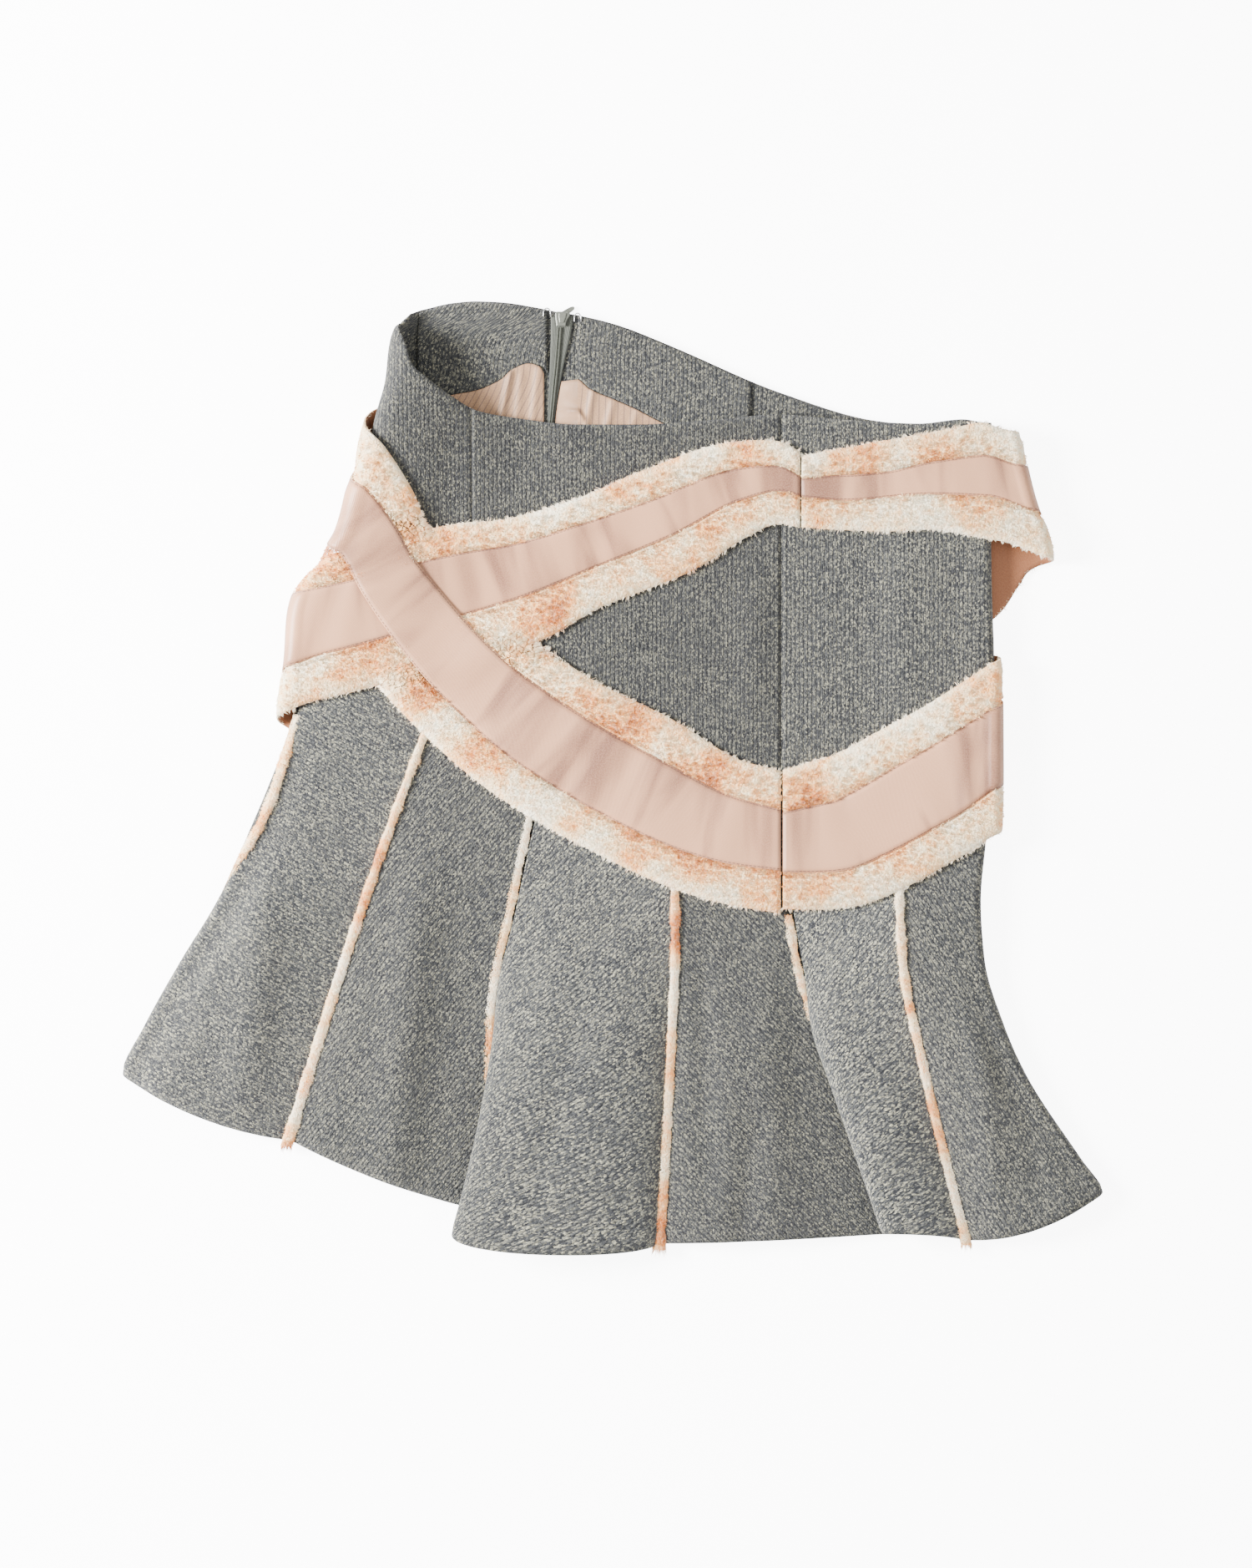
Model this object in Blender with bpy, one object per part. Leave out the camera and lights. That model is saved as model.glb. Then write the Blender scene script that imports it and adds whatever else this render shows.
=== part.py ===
"""Flared knitted skirt with a plush and satin trim, lying flat on its back, front up.

The skirt is a flattened tube. Pieces are drawn in the unrolled plane of that tube, in pattern
units of 0.53 mm: across runs from left to right over the front and past either side fold to the
back, down runs from waist to hem. place() wraps a point of that plane round the folds.
"""
import math

import bmesh
import bpy
import numpy as np

# Driving dimensions
UNIT_MM = 0.53            # millimetres in one pattern unit
WALL_MM = 2.2             # knitted cloth
SEAM_GAP = 2.0            # half the gap under the trim between yoke and gores, in pattern units
BASE_LOW_MM = 1.6         # plush band's underside above the cloth's middle
BASE_TOP_MM = 3.0         # plush band under its ribbon
RIBBON_LOW_MM = 3.4
RIBBON_TOP_MM = 4.2
CROSSING_LIFT_MM = 1.8    # how far a ribbon climbs over the other band
PLUSH_FRONT_MM = 6.2      # pile height above the cloth's middle
PLUSH_BACK_MM = 4.1       # the same where the skirt's weight presses it
LINING_MM = 1.0
ZIP_HALF_SLOT = 1.9       # half the slot at the centre back, in pattern units
PIPING_HALF = 5.5         # half a piping's width, in pattern units
PIPING_FRONT_MM = 4.4
PIPING_BACK_MM = 2.1
UPRIGHT = (0.0, -1.0)     # up the skirt, in the unrolled plane
BLEND_MM = 90.0           # reach of a side fold's roundness over the front

# The side folds of the skirt: where they run, how round they are, and the back's height
FOLD_COLUMNS = ("down", "left", "right", "left_mm", "middle_mm", "right_mm", "back_mm")
FOLDS = (
    (350, 500, 1190, 15.0, 3.3, 4.3, 4.3),
    (378, 490, 1190, 15.0, 3.3, 4.3, 4.3),
    (400, 474, 1189, 15.0, 3.3, 4.3, 4.3),
    (420, 469, 1188, 15.0, 3.3, 4.3, 4.3),
    (456, 465, 1188, 14.0, 3.3, 4.3, 4.3),
    (500, 453, 1187, 12.5, 3.3, 4.3, 4.3),
    (600, 430, 1185, 8.0, 2.9, 4.3, 4.3),
    (700, 400, 1186, 6.0, 2.2, 4.3, 4.3),
    (800, 372, 1189, 5.5, 2.0, 4.3, 4.3),
    (900, 340, 1189, 5.2, 2.0, 4.3, 4.3),
    (1000, 299, 1180, 5.0, 2.0, 4.3, 4.3),
    (1080, 262, 1173, 4.8, 2.0, 4.4, 4.2),
    (1150, 219, 1178, 4.8, 2.0, 4.5, 2.2),
    (1230, 174, 1202, 4.8, 1.8, 4.6, 1.15),
    (1290, 147, 1229, 4.8, 1.8, 4.6, 1.15),
    (1389, 146, 1294, 4.8, 1.8, 4.6, 1.15),
    (1430, 146, 1322, 4.8, 1.8, 4.6, 1.15),
    (1510, 146, 1336, 4.8, 1.8, 4.6, 1.15),
)

# The silhouettes of the trim where it stands off the folds: down, across
LOW_LEFT_FOLD = ((350, 468), (500, 446), (534, 439), (560, 435), (592, 424), (635, 414), (665, 397), (720, 378))
HIGH_LEFT_FOLD = ((650, 404), (667, 398), (694, 371), (716, 357), (740, 352), (788, 349), (836, 341), (871, 337),
                  (930, 331), (1100, 330))
HIGH_RIGHT_FOLD = ((460, 1208), (509, 1213), (555, 1222), (602, 1234), (640, 1249), (670, 1256), (720, 1259),
                   (1100, 1259))
LOW_RIGHT_FOLD = ((350, 1190), (700, 1187), (805, 1193), (991, 1194), (1100, 1190))

# The centre back, as seen: down, across
CENTRE_BACK = ((374, 672), (506, 660), (700, 637), (1010, 594), (1470, 533))
FRONT_CENTRE = 936.0
HIGH_CENTRE = 958.8
LEFT_SIDE_SEAM = 566.0
RIGHT_SIDE_SEAM = 1057.0

# The waist edge: across, down, on the front or the back, left of the centre back and then round
WAIST_COLUMNS = ("across", "down", "front")
WAIST = (
    (668, 373, 0), (639, 367, 0), (597, 361, 0), (569, 360, 0), (543, 362, 0), (523, 366, 0), (506, 371, 0),
    (491, 378, 0), (480, 390, 1), (486, 411, 1), (496, 441, 1), (510, 454, 1), (540, 476, 1), (573, 494, 1),
    (622, 502, 1), (692, 509, 1), (760, 509, 1), (860, 503, 1), (930, 497, 1), (988, 501, 1), (1054, 506, 1),
    (1102, 508, 1), (1153, 503, 1), (1179, 507, 1), (1150, 503, 0), (1102, 508, 0), (1054, 504, 0),
    (936, 470, 0), (800, 412, 0), (738, 388, 0), (698, 378, 0), (676, 374, 0),
)

# The seam between yoke and gores in the unrolled plane: across, down
YOKE_SEAM = ((-12, 1020), (70, 995), (150, 950), (250, 885), (360, 812), (440, 802), (520, 850), (640, 950),
             (808, 1040), (936, 1064), (1075, 1038), (1188, 962), (1262, 900), (1335, 822), (1420, 806), (1510, 862),
             (1640, 948), (1767, 1020))

# The gore seams: name, then across and down at three places below the yoke, on the front or the back
SEAM_COLUMNS = ("name", "front", "top", "upper", "middle", "hem")
SEAMS = (
    ("back_left", 0, (445, 0), (430, 1090), (392, 1215), (352, 1338)),
    ("p0", 1, (368, 0), (326, 960), (268, 1062), (110, 1264)),
    ("p1", 1, (520, 0), (463, 1004), (400, 1189), (345, 1366)),
    ("p2", 1, (640, 0), (612, 1082), (587, 1219), (584, 1452)),
    ("p3", 1, (808, 0), (809, 1130), (804, 1250), (790, 1490)),
    ("p4", 1, (938, 0), (958, 1172), (1002, 1293), (1078, 1478)),
    ("p5", 1, (1075, 0), (1081, 1150), (1108, 1285), (1157, 1486)),
    ("p6", 0, (1140, 0), (1150, 1120), (1185, 1260), (1254, 1400)),
    ("p7", 0, (1010, 0), (1022, 1080), (1046, 1260), (1074, 1440)),
    ("p8", 0, (880, 0), (884, 1080), (888, 1270), (894, 1462)),
    ("p9", 0, (740, 0), (733, 1120), (724, 1290), (713, 1462)),
    ("centre_back", 0, (594, 0), (576, 1150), (556, 1290), (533, 1420)),
)

# The gores, left seam to right seam. Lean and rise (mm) shape the section from each seam: lean swings
# the cloth over the seam as a fold, rise puffs it up; lift raises an edge over the seam's piping.
GORE_COLUMNS = ("left", "right", "lean_left", "rise_left", "lean_right", "rise_right", "lift_left", "sag")
GORES = (
    (1, 2, 0, 11, 0, 9, 0, 17),
    (2, 3, 0, 12, 0, 0, 0, 8),
    (3, 4, 128, 27, 24, 21, 5.4, 26),
    (4, 5, 0, 14, 0, 0, 0, 1),
    (5, 6, 50, 24, 0, 11, 5.0, -6),
    (6, 7, 0, 13, 0, 0, 0, 22),
    (7, 8, 0, 0, 0, 0, 0, 8),
    (8, 9, 0, 0, 0, 0, 0, 8),
    (9, 10, 0, 0, 0, 0, 0, 8),
    (10, 11, 0, 0, 0, 0, 0, 5),
    (11, 0, 0, 0, 0, 0, 0, 2),
    (0, 1, 0, 0, 0, 0, 0, 2),
)

# The trim bands along their centre lines: across, down, ribbon width, plush above it, plush below it
BAND_COLUMNS = ("across", "down", "ribbon", "above", "below")
LOW_LEFT = (
    (935, 1006, 72, 45, 50), (870, 993, 80, 44, 47), (755, 942, 91, 49, 44), (640, 873, 90, 42, 46),
    (575, 820, 84, 42, 46), (535, 779, 82, 42, 46), (499, 735, 80, 44, 46), (466, 690, 75, 38, 46),
    (444, 650, 73, 32, 44), (417, 614, 72, 40, 44), (360, 568, 72, 60, 42), (290, 524, 72, 50, 42),
    (215, 499, 72, 34, 42),
)
LOW_RIGHT = (
    (937.6, 1009, 72, 50, 43), (1005, 1001, 84, 52, 44), (1040, 986, 86, 48, 45), (1099, 953, 88, 46, 44),
    (1137, 931, 88, 44, 44), (1188, 897, 80, 44, 44), (1240, 856, 76, 30, 44), (1330, 786, 74, 30, 42),
    (1640, 544, 72, 38, 42), (1722, 499, 72, 34, 42),
)
HIGH_LEFT = (
    (958, 583, 22, 28, 36), (931, 574, 30, 29, 39), (885, 581, 38, 32, 44), (795, 620, 49, 36, 48),
    (700, 656, 55, 30, 46), (620, 684, 64, 31, 56), (566, 697, 72, 35, 54), (500, 714, 76, 36, 52),
    (430, 734, 77, 34, 52), (390, 744, 77, 34, 50), (345, 760, 76, 36, 50), (285, 808, 66, 38, 48),
    (45, 1008, 52, 36, 40),
)
HIGH_RIGHT = (
    (959.6, 585, 22, 27, 36), (1013, 585, 31, 32, 35), (1064, 581, 31, 37, 41), (1115, 574, 39, 35, 42),
    (1179, 571, 48, 37, 50), (1222, 584, 48, 36, 48), (1268, 597, 48, 36, 48), (1317, 624, 48, 36, 46),
    (1380, 688, 50, 36, 44), (1496, 756, 52, 36, 44), (1936, 1008, 52, 36, 40),
)

# The lower edge of the waist facing, as seen on the inner back: across, down
FACING_EDGE = ((478, 484), (540, 472), (573, 466), (597, 456), (622, 438), (636, 434), (650, 438), (656, 448))
FACING_EDGE_RIGHT = ((673, 456), (691, 453), (707, 465), (735, 477), (760, 488), (800, 508), (960, 560))
LINING_END = 566.0
ZIP_TAPE = ((378, 660, 687), (400, 660, 684), (430, 659, 677), (455, 658, 672), (506, 656, 664), (560, 656, 661))
COILS = ((392, 670.5), (430, 667.5), (470, 663.5), (506, 660.0), (556, 657.0))


def smoothstep(low, high, value):
    """Rise from 0 to 1 between two values."""
    t = np.clip((np.asarray(value, float) - low) / (high - low), 0.0, 1.0)
    return t * t * (3.0 - 2.0 * t)


def follow(xs, ys, at):
    """Read a table smoothly, with no overshoot between its rows."""
    xs = np.asarray(xs, float)
    ys = np.asarray(ys, float)
    at = np.clip(np.asarray(at, float), xs[0], xs[-1])
    step = np.diff(xs)
    secant = np.diff(ys) / step
    slope = np.zeros(len(xs))
    slope[0] = secant[0]
    slope[-1] = secant[-1]
    product = secant[:-1] * secant[1:]
    total = np.where(product > 0, secant[:-1] + secant[1:], 1.0)
    slope[1:-1] = np.where(product > 0, 2.0 * product / total, 0.0)
    row = np.clip(np.searchsorted(xs, at) - 1, 0, len(xs) - 2)
    h = step[row]
    t = (at - xs[row]) / h
    return ((1 + 2 * t) * (1 - t) ** 2 * ys[row] + t * (1 - t) ** 2 * h * slope[row]
            + t * t * (3 - 2 * t) * ys[row + 1] + t * t * (t - 1) * h * slope[row + 1])


def columns(table):
    """Turn rows into columns."""
    return [np.array(column, float) for column in zip(*table)]


def fold_lines(down):
    """The side folds and the heights of the skirt at a distance down, in millimetres."""
    rows = columns(FOLDS)
    values = [follow(rows[0], column, down) for column in rows[1:]]
    values[0] = values[0] * UNIT_MM
    values[1] = values[1] * UNIT_MM
    return values


def place(across, down, out, left_fold=None, right_fold=None, sheer=0.0):
    """Wrap points of the unrolled plane round the folds. out is mm outward; sheer adds height in mm."""
    across, down, out = np.broadcast_arrays(*[np.asarray(v, float) for v in (across, down, out)])
    left, right, r_left, r_mid, r_right, back = fold_lines(down)
    x = across * UNIT_MM
    near_left = 1.0 - smoothstep(0.0, BLEND_MM, x - left - r_left)
    near_right = 1.0 - smoothstep(0.0, BLEND_MM, right - r_right - x)
    level = back + 2.0 * (r_mid + (r_left - r_mid) * near_left + (r_right - r_mid) * near_right)
    own_left = left if left_fold is None else follow(*columns(left_fold), down) * UNIT_MM
    own_right = right if right_fold is None else follow(*columns(right_fold), down) * UNIT_MM
    px = x.copy()
    pz = level + out
    for side, edge, radius in ((-1.0, own_left, r_left), (1.0, own_right, r_right)):
        start = edge - side * radius
        past = (x - start) * side
        turn = np.clip(past / radius, 0.0, math.pi)
        beyond = np.maximum(past - math.pi * radius, 0.0)
        wrapped = past > 0.0
        px = np.where(wrapped, start + side * ((radius + out) * np.sin(turn) - beyond), px)
        pz = np.where(wrapped, back + radius + (radius + out) * np.cos(turn), pz)
    return np.stack([px, -down * UNIT_MM, pz + sheer], axis=-1) * 0.001


def unroll(across, down, front, right_side, own_fold=None):
    """The unrolled place of a point that is seen at a place across and down, on the front or back."""
    left, right, r_left, _, r_right, _ = [float(v) for v in fold_lines(down)]
    if own_fold is not None:
        left = right = float(follow(*columns(own_fold), down)) * UNIT_MM
    x = across * UNIT_MM
    side, edge, radius = (1.0, right, r_right) if right_side else (-1.0, left, r_left)
    start = edge - side * radius
    past = (x - start) * side
    if past < 0.0:
        if front:
            return across
        return (start + side * (math.pi * radius - past)) / UNIT_MM
    turn = math.asin(min(past / radius, 1.0))
    if not front:
        turn = math.pi - turn
    return (start + side * radius * turn) / UNIT_MM


def centre_back(down, right_side, own_fold=None):
    """The centre back line in the unrolled plane, from either side."""
    seen = follow(*columns(CENTRE_BACK), down)
    return unroll(float(seen), float(down), False, right_side, own_fold)


WAIST_FLAT = [(unroll(x, y, front, row > 20), y) for row, (x, y, front) in enumerate(WAIST)]


def waist(across):
    """The waist edge's place down, for places across the unrolled plane."""
    return follow(*columns(WAIST_FLAT), across)


def yoke_seam(across):
    """The seam below the yoke, for places across the unrolled plane."""
    return follow(*columns(YOKE_SEAM), across)


def normals(grid):
    """Unit normals of a grid of points."""
    du = np.gradient(grid, axis=1)
    dv = np.gradient(grid, axis=0)
    cross = np.cross(dv, du)
    return cross / np.maximum(np.linalg.norm(cross, axis=-1, keepdims=True), 1e-12)


def slab_mesh(name, under, upper):
    """A closed sheet between two grids of points."""
    rows, cols = under.shape[:2]
    count = rows * cols
    verts = np.concatenate([under.reshape(-1, 3), upper.reshape(-1, 3)])
    index = np.arange(count).reshape(rows, cols)
    faces = []
    for r in range(rows - 1):
        for c in range(cols - 1):
            a, b = int(index[r, c]), int(index[r, c + 1])
            d, e = int(index[r + 1, c]), int(index[r + 1, c + 1])
            faces.append((a, b, e, d))
            faces.append((a + count, d + count, e + count, b + count))
    rim = list(index[0, :]) + list(index[1:, -1]) + list(index[-1, -2::-1]) + list(index[-2:0:-1, 0])
    for a, b in zip(rim, rim[1:] + rim[:1]):
        a, b = int(a), int(b)
        faces.append((b, a, a + count, b + count))
    return finish_mesh(name, verts, faces)


def sheet_mesh(name, middle, thickness_mm):
    """A closed sheet of even thickness round a grid of middle points."""
    offset = normals(middle) * thickness_mm * 0.0005
    return slab_mesh(name, middle - offset, middle + offset)


def tube_mesh(name, points, half_width_mm, heights_mm, floor_mm, sides=6):
    """A closed cord with a flattened round section; heights and floors are its top and bottom."""
    points = np.asarray(points, float)
    along = np.gradient(points, axis=0)
    along /= np.linalg.norm(along, axis=1, keepdims=True)
    across = np.stack([along[:, 1], -along[:, 0], np.zeros(len(points))], axis=1)
    across /= np.maximum(np.linalg.norm(across, axis=1, keepdims=True), 1e-9)
    verts = []
    for row in range(len(points)):
        middle = (heights_mm[row] + floor_mm[row]) / 2.0
        half = (heights_mm[row] - floor_mm[row]) / 2.0
        for k in range(sides):
            angle = 2.0 * math.pi * (k + 0.5) / sides
            offset = across[row] * half_width_mm[row] * math.cos(angle) * 0.001
            lift = middle + half * math.sin(angle)
            verts.append(points[row] + offset + np.array([0.0, 0.0, lift * 0.001]))
    faces = []
    for row in range(len(points) - 1):
        for k in range(sides):
            a = row * sides + k
            b = row * sides + (k + 1) % sides
            faces.append((a, b, b + sides, a + sides))
    last = (len(points) - 1) * sides
    faces.append(tuple(range(sides))[::-1])
    faces.append(tuple(range(last, last + sides)))
    return finish_mesh(name, np.array(verts), faces)


def wire_mesh(name, points, radius_mm, sides=6):
    """A closed round wire through points."""
    points = np.asarray(points, float)
    along = np.gradient(points, axis=0)
    along /= np.linalg.norm(along, axis=1, keepdims=True)
    verts = []
    for row in range(len(points)):
        side = np.cross(along[row], (0.0, 0.0, 1.0))
        side /= np.linalg.norm(side)
        up = np.cross(side, along[row])
        for k in range(sides):
            angle = 2.0 * math.pi * k / sides
            verts.append(points[row] + (side * math.cos(angle) + up * math.sin(angle)) * radius_mm * 0.001)
    faces = []
    for row in range(len(points) - 1):
        for k in range(sides):
            a = row * sides + k
            b = row * sides + (k + 1) % sides
            faces.append((a, b, b + sides, a + sides))
    last = (len(points) - 1) * sides
    faces.append(tuple(range(sides))[::-1])
    faces.append(tuple(range(last, last + sides)))
    return finish_mesh(name, np.array(verts), faces)


def finish_mesh(name, verts, faces):
    """Make a mesh with its faces turned outward."""
    mesh = bpy.data.meshes.new(name)
    mesh.from_pydata([tuple(map(float, v)) for v in verts], [], faces)
    work = bmesh.new()
    work.from_mesh(mesh)
    bmesh.ops.recalc_face_normals(work, faces=work.faces)
    work.to_mesh(mesh)
    work.free()
    return mesh


def add(name, mesh, material):
    """Put a mesh in the scene as a named object."""
    mesh.materials.append(material)
    thing = bpy.data.objects.new(name, mesh)
    bpy.context.scene.collection.objects.link(thing)
    return thing


def principled(name, colour, roughness, metallic=0.0):
    """A plain Principled material."""
    material = bpy.data.materials.new(name)
    material.use_nodes = True
    shader = material.node_tree.nodes["Principled BSDF"]
    shader.inputs["Base Color"].default_value = (*colour, 1.0)
    shader.inputs["Roughness"].default_value = roughness
    shader.inputs["Metallic"].default_value = metallic
    return material


def knit_cloth():
    return principled("knit", (0.16, 0.17, 0.19), 0.95)


def plush():
    return principled("plush", (0.82, 0.66, 0.54), 0.95)


def ribbon_satin():
    return principled("ribbon", (0.69, 0.52, 0.45), 0.5)


def band_lining():
    return principled("band_lining", (0.62, 0.38, 0.28), 0.6)


def striped_lining():
    return principled("lining", (0.76, 0.60, 0.52), 0.45)


def zip_tape_cloth():
    return principled("zip_tape", (0.22, 0.23, 0.20), 0.9)


def zip_plastic():
    return principled("zip_plastic", (0.25, 0.26, 0.23), 0.5)


def zip_metal():
    return principled("zip_metal", (0.24, 0.25, 0.22), 0.45, 0.3)


def wire_metal():
    return principled("wire", (0.55, 0.55, 0.55), 0.3, 1.0)


def fold_shares(start, end, count):
    """Shares from one point of the unrolled plane to another, closer together round the side folds."""
    fine = np.linspace(0.0, 1.0, 400)
    x = (start[0] + (end[0] - start[0]) * fine) * UNIT_MM
    left, right, r_left, _, r_right, _ = fold_lines(start[1] + (end[1] - start[1]) * fine)
    wait = np.ones(400)
    for turn in ((x - left) / r_left, (right - x) / r_right):
        wait = np.where((turn > -2.6) & (turn < 1.5), 0.34, wait)
    share = np.concatenate([[0.0], np.cumsum(1.0 / wait[1:])])
    return np.interp(np.linspace(0.0, share[-1], count), share, fine)


def yoke_grid(left_line, right_line, rows, cols, out=0.0):
    """A grid from the waist to the yoke seam between two lines that are functions of the place down."""
    grid = np.zeros((rows, cols, 3))
    for c, u in enumerate(fold_shares((left_line(600.0), 600.0), (right_line(600.0), 600.0), cols)):
        downs = np.linspace(480.0, 900.0, rows)
        for _ in range(8):
            across = np.array([left_line(d) + (right_line(d) - left_line(d)) * u for d in downs])
            top = waist(across)[0]
            bottom = yoke_seam(across)[-1] - SEAM_GAP
            downs = np.linspace(top, bottom, rows)
        across = np.array([left_line(d) + (right_line(d) - left_line(d)) * u for d in downs])
        grid[:, c] = place(across, downs, out)
    return grid


def build_yoke(material):
    """Four panels: two fronts, and two backs open at the zip."""
    slot = ZIP_HALF_SLOT
    panels = (
        ("hip_front_left", lambda d: LEFT_SIDE_SEAM + 0.4, lambda d: FRONT_CENTRE - 0.4, 9, 15),
        ("hip_front_right", lambda d: FRONT_CENTRE + 0.4,
         lambda d: unroll(RIGHT_SIDE_SEAM, d, False, True) - 0.4, 9, 24),
        ("hip_back_left", lambda d: centre_back(d, False) + slot, lambda d: LEFT_SIDE_SEAM - 0.4, 14, 22),
        ("hip_back_right", lambda d: unroll(RIGHT_SIDE_SEAM, d, False, True) + 0.4,
         lambda d: centre_back(d, True) - slot, 9, 18),
    )
    for name, left_line, right_line, rows, cols in panels:
        add(name, sheet_mesh(name, yoke_grid(left_line, right_line, rows, cols), WALL_MM), material)


def seam_point(index, t, right_side):
    """A gore seam in the unrolled plane, t from the yoke (0) to the hem (1)."""
    _, front, *spots = SEAMS[index]
    xs, ys = columns(spots)
    ys[0] = float(yoke_seam(xs[0] if front else unroll(xs[0], 930.0, False, right_side)))
    steps = np.array((0.0, 1.0 / 3.0, 2.0 / 3.0, 1.0))
    x, y = float(follow(steps, xs, t)), float(follow(steps, ys, t))
    return (x if front else unroll(x, y, False, right_side)), y


def gore_grid(row, rows, cols, out=0.0):
    """A gore's middle points, with the fold and puff of its section."""
    left_seam, right_seam, lean_left, rise_left, lean_right, rise_right, lift, sag = row
    on_right = 6 <= left_seam < 11
    right_is_right = right_seam >= 6
    grid = np.zeros((rows, cols, 3))
    for r, t in enumerate(np.linspace(0.0, 1.0, rows)):
        ax, ay = seam_point(left_seam, t, on_right)
        bx, by = seam_point(right_seam, t, right_is_right)
        ax += PIPING_HALF + 0.8
        bx -= PIPING_HALF + 0.8
        puff = float(smoothstep(0.12, 0.85, t))
        fold = float(np.clip((t - 0.28) / 0.72, 0.0, 1.0)) ** 1.6
        wide = bx - ax
        u = fold_shares((ax, ay), (bx, by), cols)
        if lean_left:
            u = u ** 1.25
        c1 = ax + wide / 3.0 - lean_left / UNIT_MM * fold
        c2 = bx - wide / 3.0 + lean_right / UNIT_MM * fold
        b0, b1, b2, b3 = (1 - u) ** 3, 3 * u * (1 - u) ** 2, 3 * u * u * (1 - u), u ** 3
        across = ax * b0 + c1 * b1 + c2 * b2 + bx * b3
        down = ay + (by - ay) * u + sag * puff * 4 * u * (1 - u)
        if r == 0:
            down = yoke_seam(across) + SEAM_GAP
        rise = lift * fold * (b0 + b1) + rise_left * puff * b1 + rise_right * puff * b2
        left, right, r_left, _, r_right, _ = fold_lines(down)
        x = across * UNIT_MM
        front = smoothstep(0.0, 22.0, x - left - r_left) * smoothstep(0.0, 22.0, right - r_right - x)
        grid[r] = place(across, down, out + rise * front)
    return grid


GORE_ROWS = 10


def build_gores(material):
    """Twelve gores; those on the front have folds and puffs, those on the back lie flat."""
    for number, row in enumerate(GORES):
        shaped = number < 6
        cols = 14 if shaped else 7 + (number == 11)
        name = f"gore_{number}"
        add(name, sheet_mesh(name, gore_grid(row, GORE_ROWS, cols), WALL_MM), material)


def share_at(table, across, default):
    """How far along a band its centre line passes a place across."""
    if across is None:
        return default
    x, y = columns(table)[:2]
    run = np.concatenate([[0.0], np.cumsum(np.hypot(np.diff(x), np.diff(y)))])
    order = np.argsort(x)
    return float(np.interp(across, x[order], run[order] / run[-1]))


def station_places(run, x, y, folds, spacing, wide_left):
    """Shares along a band: close together round a side fold, wider on the front, widest on the flat back.

    wide_left is how far across the band its left fold reaches, where it runs along the band."""
    fine = np.linspace(0.0, 1.0, 600)
    cx, cy = follow(run, x, fine), follow(run, y, fine)
    left, right, r_left, _, r_right, _ = fold_lines(cy)
    left = follow(*columns(folds[0]), cy) * UNIT_MM
    right = follow(*columns(folds[1]), cy) * UNIT_MM
    from_left = (cx * UNIT_MM - left) / r_left
    from_right = (right - cx * UNIT_MM) / r_right
    front = smoothstep(-3.0, 0.0, from_left) * smoothstep(-3.0, 0.0, from_right)
    wait = spacing[1] + (spacing[0] - spacing[1]) * front
    edge = wide_left * UNIT_MM / r_left
    for turn, reach, close in ((from_left, edge, spacing[2] * (1.6 if wide_left else 1.0)),
                               (from_right, 0.0, spacing[2])):
        near = smoothstep(-2.6 - reach, -2.0 - reach, turn) * (1.0 - smoothstep(1.2 + reach, 1.9 + reach, turn))
        wait = wait + (close - wait) * near
    length = np.concatenate([[0.0], np.cumsum(np.hypot(np.diff(cx), np.diff(cy)))])
    density = 1.0 / wait
    count = np.concatenate([[0.0], np.cumsum((density[1:] + density[:-1]) / 2 * np.diff(length))])
    return fine, count, (from_left, from_right)


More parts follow.
